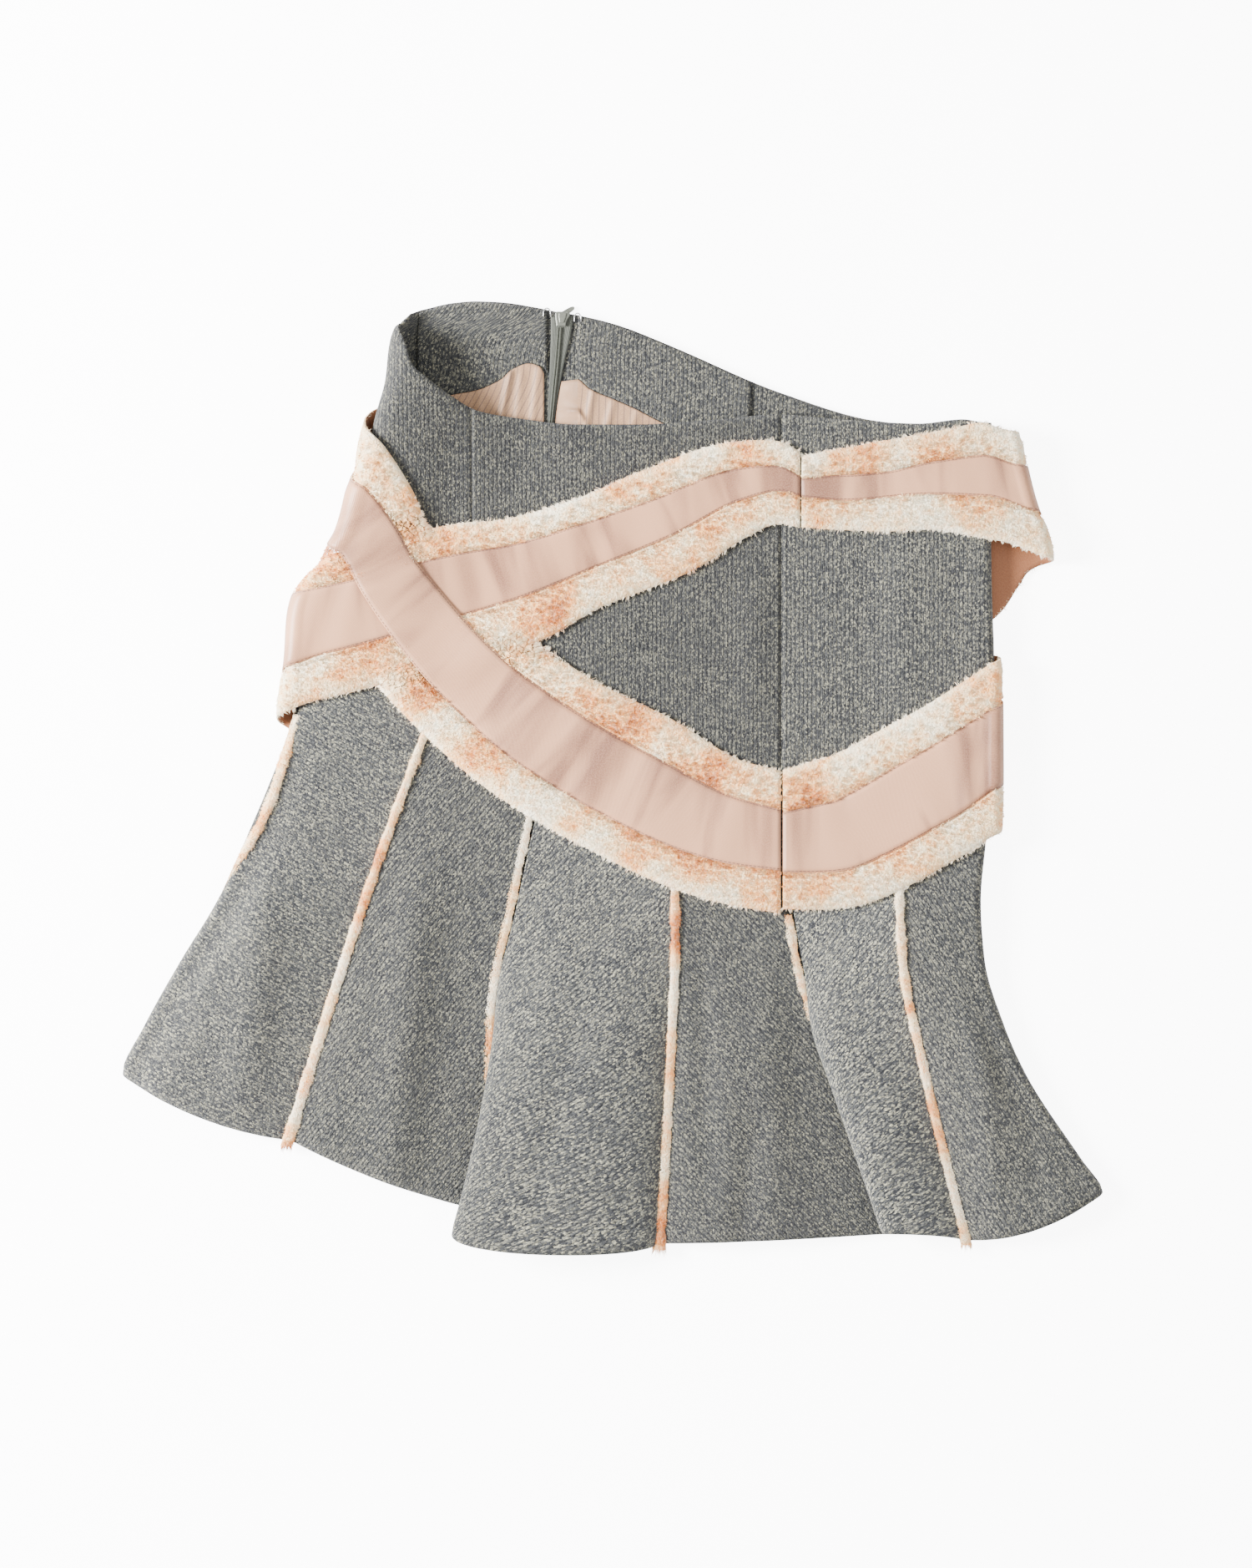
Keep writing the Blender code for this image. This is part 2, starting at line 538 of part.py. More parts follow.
def band_strip(table, folds, offsets, start=None, end=None, first=None, last=None, spacing=(27.0, 64.0, 5.5),
               turns=(None, UPRIGHT)):
    """Points of a band in the unrolled plane: stations along it, offsets across it.

    offsets gives places across as (zone, share): zone 0 is the plush below, 1 the ribbon, 2 the plush
    above. Sections are square to the band, but turn to the directions start and end at its ends, and
    run down the fold where it goes round one."""
    x, y, ribbon, above, below = columns(table)
    run = np.concatenate([[0.0], np.cumsum(np.hypot(np.diff(x), np.diff(y)))])
    size = run[-1]
    run /= size
    fine, count, (from_left, from_right) = station_places(run, x, y, folds, spacing,
                                                     55.0 if turns[0] is None and x[-1] < x[0] else 0.0)
    ends = np.interp([share_at(table, first, 0.0), share_at(table, last, 1.0)], fine, count)
    stations = int(round(ends[1] - ends[0])) + 1
    s = np.interp(np.linspace(ends[0], ends[1], stations), count, fine)
    cx, cy = follow(run, x, s), follow(run, y, s)
    tx = follow(run, np.gradient(x, run), s)
    ty = follow(run, np.gradient(y, run), s)
    square = np.stack([ty, -tx], axis=1) / np.hypot(tx, ty)[:, None]
    square *= np.where(square[:, 1:] > 0, -1.0, 1.0)
    turned = square.copy()
    for turn, direction in zip((from_left, from_right), turns):
        if direction is not None:
            near = (1.0 - smoothstep(2.0, 15.0, np.abs(np.interp(s, fine, turn) + 0.6)))[:, None]
            turned = turned * (1.0 - near) + np.array(direction) * near
    for cut, at in ((start, s[0]), (end, s[-1])):
        if cut is not None:
            share = (1.0 - smoothstep(0.0, 110.0, np.abs(s - at) * size))[:, None]
            turned = turned * (1.0 - share) + np.array(cut) * share
    turned /= np.linalg.norm(turned, axis=1, keepdims=True)
    stretch = 1.0 / np.maximum((turned * square).sum(axis=1), 0.45)
    widths = [follow(run, column, s) * stretch for column in (below, ribbon, above)]
    grid = np.zeros((stations, len(offsets), 2))
    for c, (zone, share) in enumerate(offsets):
        if zone == 0:
            reach = -widths[1] / 2 - widths[0] * (1 - share)
        elif zone == 1:
            reach = widths[1] * (share - 0.5)
        else:
            reach = widths[1] / 2 + widths[2] * share
        grid[:, c, 0] = cx + turned[:, 0] * reach
        grid[:, c, 1] = cy + turned[:, 1] * reach
    keep = limits(table, folds)
    for r in range(stations):
        for c in range(len(offsets)):
            low, high = keep(grid[r, c, 1])
            grid[r, c, 0] = min(max(grid[r, c, 0], low), high)
    return grid


def limits(table, folds):
    """Where a band ends at the centre front and the centre back, at a place down."""
    middle = FRONT_CENTRE if table in (LOW_LEFT, LOW_RIGHT) else HIGH_CENTRE
    if table in (LOW_LEFT, HIGH_LEFT):
        return lambda down: (centre_back(down, False, folds[0]) + ZIP_HALF_SLOT, middle - 0.4)
    return lambda down: (middle + 0.4, centre_back(down, True, folds[1]) - ZIP_HALF_SLOT)


def on_front(flat, left_fold, right_fold):
    """How far a point of the unrolled plane is on the front: 1 on it, 0 on the back."""
    left, right, r_left, _, r_right, _ = fold_lines(flat[..., 1])
    if left_fold is not None:
        left = follow(*columns(left_fold), flat[..., 1]) * UNIT_MM
    if right_fold is not None:
        right = follow(*columns(right_fold), flat[..., 1]) * UNIT_MM
    x = flat[..., 0] * UNIT_MM
    return smoothstep(-0.8, 0.8, (x - left) / r_left) * smoothstep(-0.8, 0.8, (right - x) / r_right)


BASE_OFFSETS = ((0, 0.0), (0, 0.45), (0, 0.97), (1, 0.5), (2, 0.03), (2, 0.55), (2, 1.0))
BASE_FINE = ((0, 0.0), (0, 0.3), (0, 0.6), (0, 0.97), (1, 0.25), (1, 0.5), (1, 0.75), (2, 0.03), (2, 0.35), (2, 0.7),
             (2, 1.0))
RIBBON_OFFSETS = ((1, 0.0), (1, 0.5), (1, 1.0))
RIBBON_FINE = ((1, 0.0), (1, 0.25), (1, 0.5), (1, 0.75), (1, 1.0))

# Where the bands cross: the place, then the directions of the low and the high band
CROSSING_COLUMNS = ("low_across", "high_across", "down", "low_x", "low_y", "high_x", "high_y")
CROSSINGS = ((486, 486, 717, 0.60, 0.80, 0.967, -0.27), (1370, 1496, 755, 0.785, -0.62, 0.866, 0.5))


def crossing_share(flat, of_low, near, far):
    """1 within a distance of the low (or high) band's line near a crossing, falling to 0 past it."""
    result = np.zeros(flat.shape[:-1])
    for in_low, in_high, y, low_x, low_y, high_x, high_y in CROSSINGS:
        dx, dy = flat[..., 0] - (in_high if of_low else in_low), flat[..., 1] - y
        ux, uy = (low_x, low_y) if of_low else (high_x, high_y)
        away = np.abs(dx * uy - dy * ux)
        close = 1.0 - smoothstep(150.0, 200.0, np.hypot(dx, dy))
        result = np.maximum(result, (1.0 - smoothstep(near, far, away)) * close)
    return result


def looseness(flat, folds):
    """How much the trim stands off where it rounds a side fold, in mm."""
    _, _, r_left, _, r_right, _ = fold_lines(flat[..., 1])
    x = flat[..., 0] * UNIT_MM
    left = follow(*columns(folds[0]), flat[..., 1]) * UNIT_MM
    right = follow(*columns(folds[1]), flat[..., 1]) * UNIT_MM
    turns = np.stack([(x - left) / r_left, (right - x) / r_right])
    stand_off = np.array((1.6 if folds[0] is LOW_LEFT_FOLD else 0.9, 0.9)).reshape((2,) + (1,) * (turns.ndim - 1))
    return (stand_off * smoothstep(-1.9, -1.1, turns) * (1.0 - smoothstep(0.4, 1.3, turns))).max(axis=0)


def plush_share(zone, share):
    """How high the pile stands at a place across a band: none under the ribbon, less at the edge."""
    if zone == 1 or (zone == 0 and share > 0.95) or (zone == 2 and share < 0.05):
        return 0.0
    from_edge = share if zone == 0 else 1.0 - share
    return 0.45 + 0.55 * min(from_edge / 0.35, 1.0)


def add_base(name, table, folds, material, offsets, yields, **cuts):
    """A plush band: flat under its ribbon, with pile as high as it stands on each side."""
    flat = band_strip(table, folds, offsets, **cuts)
    front = on_front(flat, *folds)
    pile = np.array([plush_share(zone, share) for zone, share in offsets])
    high = PLUSH_BACK_MM + (PLUSH_FRONT_MM - PLUSH_BACK_MM) * front
    top_flat = 2.2 + (BASE_TOP_MM - 2.2) * front
    top = top_flat + (high - top_flat) * pile
    if yields:
        dipped = np.minimum(top, 3.1 + 1.2 * front)
        top = top + (dipped - top) * crossing_share(flat, True, 50.0, 66.0)
    loose = looseness(flat, folds)
    under = place(flat[..., 0], flat[..., 1], BASE_LOW_MM + loose, *folds)
    upper = place(flat[..., 0], flat[..., 1], top + loose, *folds)
    add(name, slab_mesh(name, under, upper), material)


def add_ribbon(name, table, folds, material, offsets, climbs, **cuts):
    """A ribbon sewn over the middle of its band, climbing over the other band where it crosses."""
    flat = band_strip(table, folds, offsets, **cuts)
    front = on_front(flat, *folds)
    low = 2.5 + (RIBBON_LOW_MM - 2.5) * front
    high = 3.2 + (RIBBON_TOP_MM - 3.2) * front
    if climbs:
        climb = crossing_share(flat, False, 90.0, 130.0) * (1.1 + (CROSSING_LIFT_MM - 1.1) * front)
        low = low + climb
        high = high + climb
    loose = looseness(flat, folds) * 1.5
    under = place(flat[..., 0], flat[..., 1], low + loose, *folds)
    upper = place(flat[..., 0], flat[..., 1], high + loose, *folds)
    add(name, slab_mesh(name, under, upper), material)


def build_trim(plush_material, ribbon_material):
    """The low band, broken where the high band passes, then the high band, then the ribbons."""
    low = (LOW_LEFT_FOLD, LOW_RIGHT_FOLD)
    high = (HIGH_LEFT_FOLD, HIGH_RIGHT_FOLD)
    high_turns = ((0.25, -0.97), (-0.25, -0.97))
    ends = {"start": UPRIGHT, "end": UPRIGHT}
    bases = (
        ("band_low_left_lower", LOW_LEFT, low, BASE_OFFSETS, False,
         {"start": UPRIGHT, "end": (0.963, -0.27), "last": 558.0}),
        ("band_low_left_upper", LOW_LEFT, low, BASE_FINE, False,
         {"start": (0.963, -0.27), "end": UPRIGHT, "first": 435.0}),
        ("band_low_right_lower", LOW_RIGHT, low, BASE_OFFSETS, False,
         {"start": UPRIGHT, "last": 1256.0}),
        ("band_low_right_upper", LOW_RIGHT, low, BASE_OFFSETS, False,
         {"start": (-0.866, -0.5), "end": UPRIGHT, "first": 1430.0}),
        ("band_high_left", HIGH_LEFT, high, BASE_OFFSETS, True, {"turns": high_turns, **ends}),
        ("band_high_right", HIGH_RIGHT, high, BASE_OFFSETS, True, {"turns": high_turns, **ends}),
    )
    for name, table, folds, offsets, yields, cuts in bases:
        add_base(name, table, folds, plush_material, offsets, yields, **cuts)
    add_ribbon("ribbon_low_left", LOW_LEFT, low, ribbon_material, RIBBON_FINE, True, **ends)
    add_ribbon("ribbon_low_right", LOW_RIGHT, low, ribbon_material, RIBBON_OFFSETS, True, **ends)
    add_ribbon("ribbon_high_left", HIGH_LEFT, high, ribbon_material, RIBBON_OFFSETS, False,
               turns=high_turns, **ends)
    add_ribbon("ribbon_high_right", HIGH_RIGHT, high, ribbon_material, RIBBON_OFFSETS, False,
               turns=high_turns, **ends)


def piping_line(index, t):
    """Points down a gore seam, with its distance from the yoke."""
    return np.array([seam_point(index, float(v), 6 <= index < 12) for v in t])


# Where each piping comes out from under the trim (down), and how far it hangs past the hem (mm)
PIPING_TOPS = (965, 856, 884, 991, 1078, 1096, 1074, 1010, 880, 905, 1000, 1082)


# The share of the seam's gap that each piping fills
PIPING_FULLNESS = (0.7, 0.45, 0.95, 0.95, 0.95, 0.95, 0.95, 0.68, 0.78, 0.68, 0.68, 0.68)

# How far a piping's tuft hangs past the hem; the others stop short of it
TUFTS = {2: 8.0, 4: 7.0, 6: 6.0}


def build_pipings(material):
    """A plush piping in each gore seam, flat where the skirt lies on it."""
    for index in range(12):
        start = PIPING_TOPS[index]
        line = piping_line(index, np.linspace(0.0, 1.0, GORE_ROWS))
        keep = line[:, 1] > start + 12.0
        first = (float(np.interp(start, line[:, 1], line[:, 0])), start)
        line = np.concatenate([[first], line[keep]])
        line[-1] += (line[-1] - line[-2]) / np.linalg.norm(line[-1] - line[-2]) * TUFTS.get(index, -6.0)
        left, right, r_left, _, r_right, _ = fold_lines(line[:, 1])
        x = line[:, 0] * UNIT_MM
        front = smoothstep(-0.6, 0.9, (x - left) / r_left) * smoothstep(-0.6, 0.9, (right - x) / r_right)
        under_fold = GORES[index - 1][6] if 0 < index < 7 else 0.0
        tall = PIPING_BACK_MM + (PIPING_FRONT_MM - PIPING_BACK_MM) * front * (under_fold == 0.0)
        points = place(line[:, 0], line[:, 1], 0.0)
        slant = np.gradient(line[:, 0]) / np.gradient(line[:, 1])
        half = PIPING_HALF * UNIT_MM / np.sqrt(1.0 + slant ** 2) * PIPING_FULLNESS[index]
        down_side = np.full(len(line), -WALL_MM / 2.0)
        name = f"piping_{index}"
        add(name, tube_mesh(name, points, half, down_side + tall, down_side), material)


def inner_sheet(name, xs, tops, bottoms, rows, low_mm, high_mm, material):
    """A flat piece on the inner back: places across and down as seen, heights above the back's middle."""
    under = np.zeros((rows, len(xs), 3))
    upper = np.zeros((rows, len(xs), 3))
    for r, v in enumerate(np.linspace(0.0, 1.0, rows)):
        down = tops + (bottoms - tops) * v
        for grid, height in ((under, low_mm), (upper, high_mm)):
            for c, x in enumerate(xs):
                flat_x = unroll(float(x), float(down[c]), False, x > 700)
                grid[r, c] = place(flat_x, float(down[c]), -height)
    add(name, slab_mesh(name, under, upper), material)


def back_waist(x):
    """The back's waist edge as seen, at a place across."""
    seen = sorted((row[0], row[1]) for row in WAIST if not row[2])
    return follow(*columns(seen), x)


INNER_LOW_MM = 1.5
INNER_HIGH_MM = 2.5


def build_waist_inside(facing_material, lining_material):
    """Facing and lining on the inner back, each side of the zip tape."""
    tape = columns(ZIP_TAPE)
    left = np.linspace(500.0, 655.0, 10)
    right = np.array((692.0, 700.0, 710.0, 722.0, 735.0, 750.0, 775.0, 800.0, 835.0, 900.0))
    edge_left = follow(*columns(FACING_EDGE), left)
    edge_right = follow(*columns(FACING_EDGE_RIGHT), right)
    inner_sheet("facing_left", left, back_waist(left) + 2.0, edge_left, 4, INNER_LOW_MM, INNER_HIGH_MM,
                facing_material)
    inner_sheet("facing_right", right, back_waist(right) + 2.0, edge_right, 4, INNER_LOW_MM, INNER_HIGH_MM,
                facing_material)
    inner_sheet("lining_left", left - (left - 500.0) * 0.02, edge_left + 2.0, np.full(10, LINING_END), 4,
                INNER_LOW_MM, INNER_HIGH_MM, lining_material)
    across = np.concatenate([[675.0], right])
    rows = 5
    under = np.zeros((rows, len(across), 3))
    upper = np.zeros((rows, len(across), 3))
    for r, v in enumerate(np.linspace(0.0, 1.0, rows)):
        for c, x in enumerate(across):
            top = float(follow(*columns(FACING_EDGE_RIGHT), x)) + 2.0
            down = top + (LINING_END - top) * v
            if c == 0:
                x = float(follow(tape[0], tape[2], down)) + 1.0
            flat_x = unroll(x, down, False, True)
            under[r, c] = place(flat_x, down, -INNER_LOW_MM)
            upper[r, c] = place(flat_x, down, -INNER_HIGH_MM)
    add("lining_right", slab_mesh("lining_right", under, upper), lining_material)


def flat_point(x, down, height_mm):
    """A point on the inner back, as seen, at a height above the back's middle."""
    return place(unroll(x, down, False, True), down, -height_mm)


def box_mesh(name, x0, x1, y0, y1, low_mm, high_mm, taper=0.0):
    """A small slab on the back, in units across and down; taper narrows its lower end."""
    under = np.zeros((2, 2, 3))
    upper = np.zeros((2, 2, 3))
    for r, down in enumerate((y0, y1)):
        for c, x in enumerate((x0 + taper * r, x1 - taper * r)):
            under[r, c] = place(unroll(x, y0, False, True), down, -low_mm)
            upper[r, c] = place(unroll(x, y0, False, True), down, -high_mm)
            under[r, c, 0] = upper[r, c, 0]
    return slab_mesh(name, under, upper)


def joined(name, meshes):
    """One mesh out of several that touch through each other."""
    things = []
    for k, mesh in enumerate(meshes):
        thing = bpy.data.objects.new(f"{name}_{k}", mesh)
        bpy.context.scene.collection.objects.link(thing)
        things.append(thing)
    base = things[0]
    for other in things[1:]:
        cut = base.modifiers.new("join", "BOOLEAN")
        cut.operation = "UNION"
        cut.solver = "EXACT"
        cut.object = other
    depsgraph = bpy.context.evaluated_depsgraph_get()
    mesh = bpy.data.meshes.new_from_object(base.evaluated_get(depsgraph))
    for thing in things:
        bpy.data.objects.remove(thing, do_unlink=True)
    return mesh


# The zip's slider and pull, in units across and down as seen
SLIDER_ACROSS = (665.0, 683.0)
SLIDER_DOWN = (373.0, 391.0)
PULL_HINGE = (672.0, 376.0)
PULL_TIP = (688.0, 366.5)
PULL_HALF = 3.0
PULL_LOW_MM = -3.3
PULL_HIGH_MM = -2.2


def build_zip(tape_material, coil_material, metal):
    """An invisible zip, closed, on the inner back; its pull hangs on the outer side."""
    tape = columns(ZIP_TAPE)
    downs = np.linspace(tape[0][0], tape[0][-1], 7)
    under = np.zeros((7, 2, 3))
    upper = np.zeros((7, 2, 3))
    for r, down in enumerate(downs):
        edges = (float(follow(tape[0], tape[1], down)) + 0.5, float(follow(tape[0], tape[2], down)) - 0.5)
        for c, x in enumerate(edges):
            under[r, c] = flat_point(x, down, INNER_LOW_MM)
            upper[r, c] = flat_point(x, down, 2.3)
    add("zip_tape", slab_mesh("zip_tape", under, upper), tape_material)
    coil = columns(COILS)
    downs = np.linspace(coil[0][0], coil[0][-1], 7)
    for name, side in (("zip_coil_left", -1.0), ("zip_coil_right", 1.0)):
        for r, down in enumerate(downs):
            middle = float(follow(coil[0], coil[1], down))
            width = 3.1 if down < 500 else 2.0
            for c, x in enumerate(sorted((middle + side * 0.4, middle + side * width))):
                under[r, c] = flat_point(x, down, 2.6)
                upper[r, c] = flat_point(x, down, 3.6)
        add(name, slab_mesh(name, under, upper), coil_material)
    plate = box_mesh("plate", *SLIDER_ACROSS, *SLIDER_DOWN, 2.7, 4.9, 2.0)
    neck = box_mesh("neck", 670.9, 673.1, 374.2, 377.2, -1.9, 3.2)
    add("zip_slider", joined("zip_slider", (plate, neck)), metal)


def build_pull(metal):
    """The pull tab: a thin plate on the outer side, turning on the slider's lower end."""
    (hx, hy), (tx, ty) = PULL_HINGE, PULL_TIP
    length = math.hypot(tx - hx, ty - hy)
    ux, uy = (tx - hx) / length, (ty - hy) / length
    under = np.zeros((4, 2, 3))
    upper = np.zeros((4, 2, 3))
    for r, share in enumerate((0.0, 0.15, 0.75, 1.0)):
        half = PULL_HALF * (0.7, 1.0, 1.0, 0.6)[r]
        for c, side in enumerate((-1.0, 1.0)):
            x = hx + ux * length * share - uy * half * side
            y = hy + uy * length * share + ux * half * side
            under[r, c] = flat_point(x, y, PULL_LOW_MM)
            upper[r, c] = flat_point(x, y, PULL_HIGH_MM)
            under[r, c, :2] = upper[r, c, :2]
    add("zip_pull", slab_mesh("zip_pull", under, upper), metal)


def build_hook(metal):
    """A wire hook and a wire eye, each sewn beside the top of the zip."""
    for name, x0, x1, y0, y1 in (("hook", 651.0, 659.5, 369.0, 375.0), ("eye", 688.0, 696.0, 375.0, 381.0)):
        middle = (x0 + x1) / 2
        spots = []
        for angle in np.linspace(-0.35, math.pi + 0.35, 9):
            x = middle + (x1 - x0) / 2 * math.cos(angle)
            y = y1 - (y1 - y0) * math.sin(max(angle, 0.0) if angle < math.pi else math.pi)
            spots.append(flat_point(x, y + (4.0 if angle < 0 or angle > math.pi else 0.0), 3.2))
        add(name, wire_mesh(name, spots, 0.4), metal)


def centre_everything():
    """Put the origin at the middle of the bounding box's base."""
    low = np.full(3, 1e9)
    high = np.full(3, -1e9)
    for thing in bpy.data.objects:
        spots = np.array([tuple(v.co) for v in thing.data.vertices])
        low = np.minimum(low, spots.min(axis=0))
        high = np.maximum(high, spots.max(axis=0))
    shift = np.array([-(low[0] + high[0]) / 2, -(low[1] + high[1]) / 2, -low[2]])
    for thing in bpy.data.objects:
        for vertex in thing.data.vertices:
            vertex.co = tuple(np.array(vertex.co) + shift)
    return shift


def main():
    for thing in list(bpy.data.objects):
        bpy.data.objects.remove(thing, do_unlink=True)
    knit = knit_cloth()
    fluff = plush()
    metal = zip_metal()
    build_yoke(knit)
    build_gores(knit)
    build_pipings(fluff)
    build_trim(fluff, ribbon_satin())
    build_waist_inside(knit, striped_lining())
    build_zip(zip_tape_cloth(), zip_plastic(), metal)
    build_pull(metal)
    build_hook(wire_metal())
    shift = centre_everything()
    print("moved by", shift.round(5))


main()
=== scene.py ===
"""The looks of the flared skirt, built round its CAD solids.

Cloth, trim, pile and zip are drawn in the same unrolled plane as the solids: across runs over the
front and past either side fold to the back, down runs from waist to hem, in units of 0.53 mm.
place() wraps a point of that plane round the folds. Nothing is simulated: folds, puffs and soft
creases are shaped by the tables below.
"""
import math

import bpy
import numpy as np
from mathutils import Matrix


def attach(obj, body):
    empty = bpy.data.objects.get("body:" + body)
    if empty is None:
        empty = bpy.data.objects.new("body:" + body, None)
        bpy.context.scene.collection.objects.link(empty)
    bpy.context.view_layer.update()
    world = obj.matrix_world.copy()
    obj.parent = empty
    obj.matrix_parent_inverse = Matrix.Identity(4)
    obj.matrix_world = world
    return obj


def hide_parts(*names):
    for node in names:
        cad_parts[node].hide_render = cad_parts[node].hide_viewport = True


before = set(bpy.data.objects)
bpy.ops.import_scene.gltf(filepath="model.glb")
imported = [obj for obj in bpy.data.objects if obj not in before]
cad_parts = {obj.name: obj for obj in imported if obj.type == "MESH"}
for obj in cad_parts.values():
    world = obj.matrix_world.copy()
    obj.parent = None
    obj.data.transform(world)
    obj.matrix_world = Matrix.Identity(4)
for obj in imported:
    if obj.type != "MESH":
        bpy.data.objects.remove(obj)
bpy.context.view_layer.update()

# Driving dimensions
MOVED = (-0.38902, 0.493, 0.0)   # from the drawing's frame to the part's, in metres
UNIT_MM = 0.53            # millimetres in one pattern unit
WALL_MM = 2.2             # knitted cloth
SEAM_GAP = 2.0            # half the gap under the trim between yoke and gores, in pattern units
BASE_LOW_MM = 1.6         # plush band's underside above the cloth's middle
BASE_TOP_MM = 3.0         # plush band under its ribbon
RIBBON_LOW_MM = 3.4
RIBBON_TOP_MM = 4.2
CROSSING_LIFT_MM = 1.8    # how far a ribbon climbs over the other band
PLUSH_FRONT_MM = 6.2      # pile height above the cloth's middle
PLUSH_BACK_MM = 4.1       # the same where the skirt's weight presses it
ZIP_HALF_SLOT = 1.9       # half the slot at the centre back, in pattern units
PIPING_HALF = 5.5         # half a piping's width, in pattern units
PIPING_FRONT_MM = 4.4
PIPING_BACK_MM = 2.1
UPRIGHT = (0.0, -1.0)     # up the skirt, in the unrolled plane
BLEND_MM = 90.0           # reach of a side fold's roundness over the front
RELIEF_FADE_MM = 26.0     # the creases fade out this far from a side fold
PUFF_FADE_MM = 22.0       # and the gores' folds and puffs this far
PUFF_SPAN = (0.12, 0.85)  # where on its length a gore's puff starts and is full
FOLD_CLEAR = 2.5          # how far a fold's edge stays off its piping, in pattern units
SIDE_LAP = 0.4            # how far the front yoke laps over the back at the left side
CENTRE_GAP = 0.15         # half the gap between the front panels of the yoke
TRIM_CENTRE_GAP = 0.4     # half the gap between the trim's left and right halves, at the centre front
SEAM_TUCK = 2.0           # how far the gores stay from the middle of their piping

# The side folds of the skirt: down, where the left and the right one run (across), the radius in mm at the
# left fold, in the middle and at the right fold, and the height of the back's middle in mm
FOLDS = (
    (350, 500, 1190, 15.0, 3.3, 4.3, 4.3),
    (378, 490, 1190, 15.0, 3.3, 4.3, 4.3),
    (400, 474, 1189, 15.0, 3.3, 4.3, 4.3),
    (420, 469, 1188, 15.0, 3.3, 4.3, 4.3),
    (456, 465, 1188, 14.0, 3.3, 4.3, 4.3),
    (500, 453, 1187, 12.5, 3.3, 4.3, 4.3),
    (600, 430, 1185, 8.0, 2.9, 4.3, 4.3),
    (700, 400, 1186, 6.0, 2.2, 4.3, 4.3),
    (800, 372, 1189, 5.5, 2.0, 4.3, 4.3),
    (900, 340, 1189, 5.2, 2.0, 4.3, 4.3),
    (1000, 299, 1180, 5.0, 2.0, 4.3, 4.3),
    (1080, 262, 1173, 4.8, 2.0, 4.4, 4.2),
    (1150, 219, 1178, 4.8, 2.0, 4.5, 2.2),
    (1230, 174, 1202, 4.8, 1.8, 4.6, 1.15),
    (1290, 147, 1229, 4.8, 1.8, 4.6, 1.15),
    (1389, 146, 1294, 4.8, 1.8, 4.6, 1.15),
    (1430, 146, 1322, 4.8, 1.8, 4.6, 1.15),
    (1510, 146, 1336, 4.8, 1.8, 4.6, 1.15),
)
# The silhouettes of the trim where it stands off the folds: down, across
LOW_LEFT_FOLD = ((350, 468), (500, 446), (534, 439), (560, 435), (592, 424), (635, 414), (665, 397),
                 (720, 378))
HIGH_LEFT_FOLD = ((650, 404), (667, 398), (694, 371), (716, 357), (740, 352), (788, 349), (836, 341),
                  (871, 337), (930, 331), (1100, 330))
HIGH_RIGHT_FOLD = ((460, 1208), (509, 1213), (555, 1222), (602, 1234), (640, 1249), (670, 1256), (720, 1259),
                   (1100, 1259))
LOW_RIGHT_FOLD = ((350, 1190), (700, 1187), (805, 1193), (991, 1194), (1100, 1190))
# The centre back, as seen: down, across
CENTRE_BACK = ((374, 672), (506, 660), (700, 637), (1010, 594), (1470, 533))
FRONT_CENTRE = 936.0
HIGH_CENTRE = 958.8
LEFT_SIDE_SEAM = 566.0
RIGHT_SIDE_SEAM = 1057.0
# The waist edge: across, down, and 1 on the front or 0 on the back, left of the centre back and then round
WAIST = (
    (668, 373, 0), (639, 367, 0), (597, 361, 0), (569, 360, 0), (543, 362, 0), (523, 366, 0), (506, 371, 0),
    (491, 378, 0), (480, 390, 1), (486, 411, 1), (496, 441, 1), (510, 454, 1), (540, 476, 1), (573, 494, 1),
    (622, 502, 1), (692, 509, 1), (760, 509, 1), (860, 503, 1), (930, 497, 1), (988, 501, 1), (1054, 506, 1),
    (1102, 508, 1), (1153, 503, 1), (1179, 507, 1), (1150, 503, 0), (1102, 508, 0), (1054, 504, 0),
    (936, 470, 0), (800, 412, 0), (738, 388, 0), (698, 378, 0), (676, 374, 0),
)
# The seam between yoke and gores in the unrolled plane: across, down
YOKE_SEAM = ((-12, 1020), (70, 995), (150, 950), (250, 885), (360, 812), (440, 802), (520, 850), (640, 950),
             (808, 1040), (936, 1064), (1075, 1038), (1188, 962), (1262, 900), (1335, 822), (1420, 806),
             (1510, 862), (1640, 948), (1767, 1020))
# The gore seams: name, 1 on the front or 0 on the back, then (across, down) at the yoke, at two places
# below it and at the hem
SEAMS = (
    ("back_left", 0, (445, 0), (430, 1090), (392, 1215), (352, 1338)),
    ("p0", 1, (368, 0), (326, 960), (268, 1062), (110, 1264)),
    ("p1", 1, (520, 0), (463, 1004), (400, 1189), (345, 1366)),
    ("p2", 1, (640, 0), (612, 1082), (587, 1219), (584, 1452)),
    ("p3", 1, (808, 0), (809, 1130), (804, 1250), (790, 1490)),
    ("p4", 1, (938, 0), (958, 1172), (1002, 1293), (1078, 1478)),
    ("p5", 1, (1075, 0), (1081, 1150), (1108, 1285), (1157, 1486)),
    ("p6", 0, (1140, 0), (1150, 1120), (1185, 1260), (1254, 1400)),
    ("p7", 0, (1010, 0), (1022, 1080), (1046, 1260), (1074, 1440)),
    ("p8", 0, (880, 0), (884, 1080), (888, 1270), (894, 1462)),
    ("p9", 0, (740, 0), (733, 1120), (724, 1290), (713, 1462)),
    ("centre_back", 0, (594, 0), (576, 1150), (556, 1290), (533, 1420)),
)
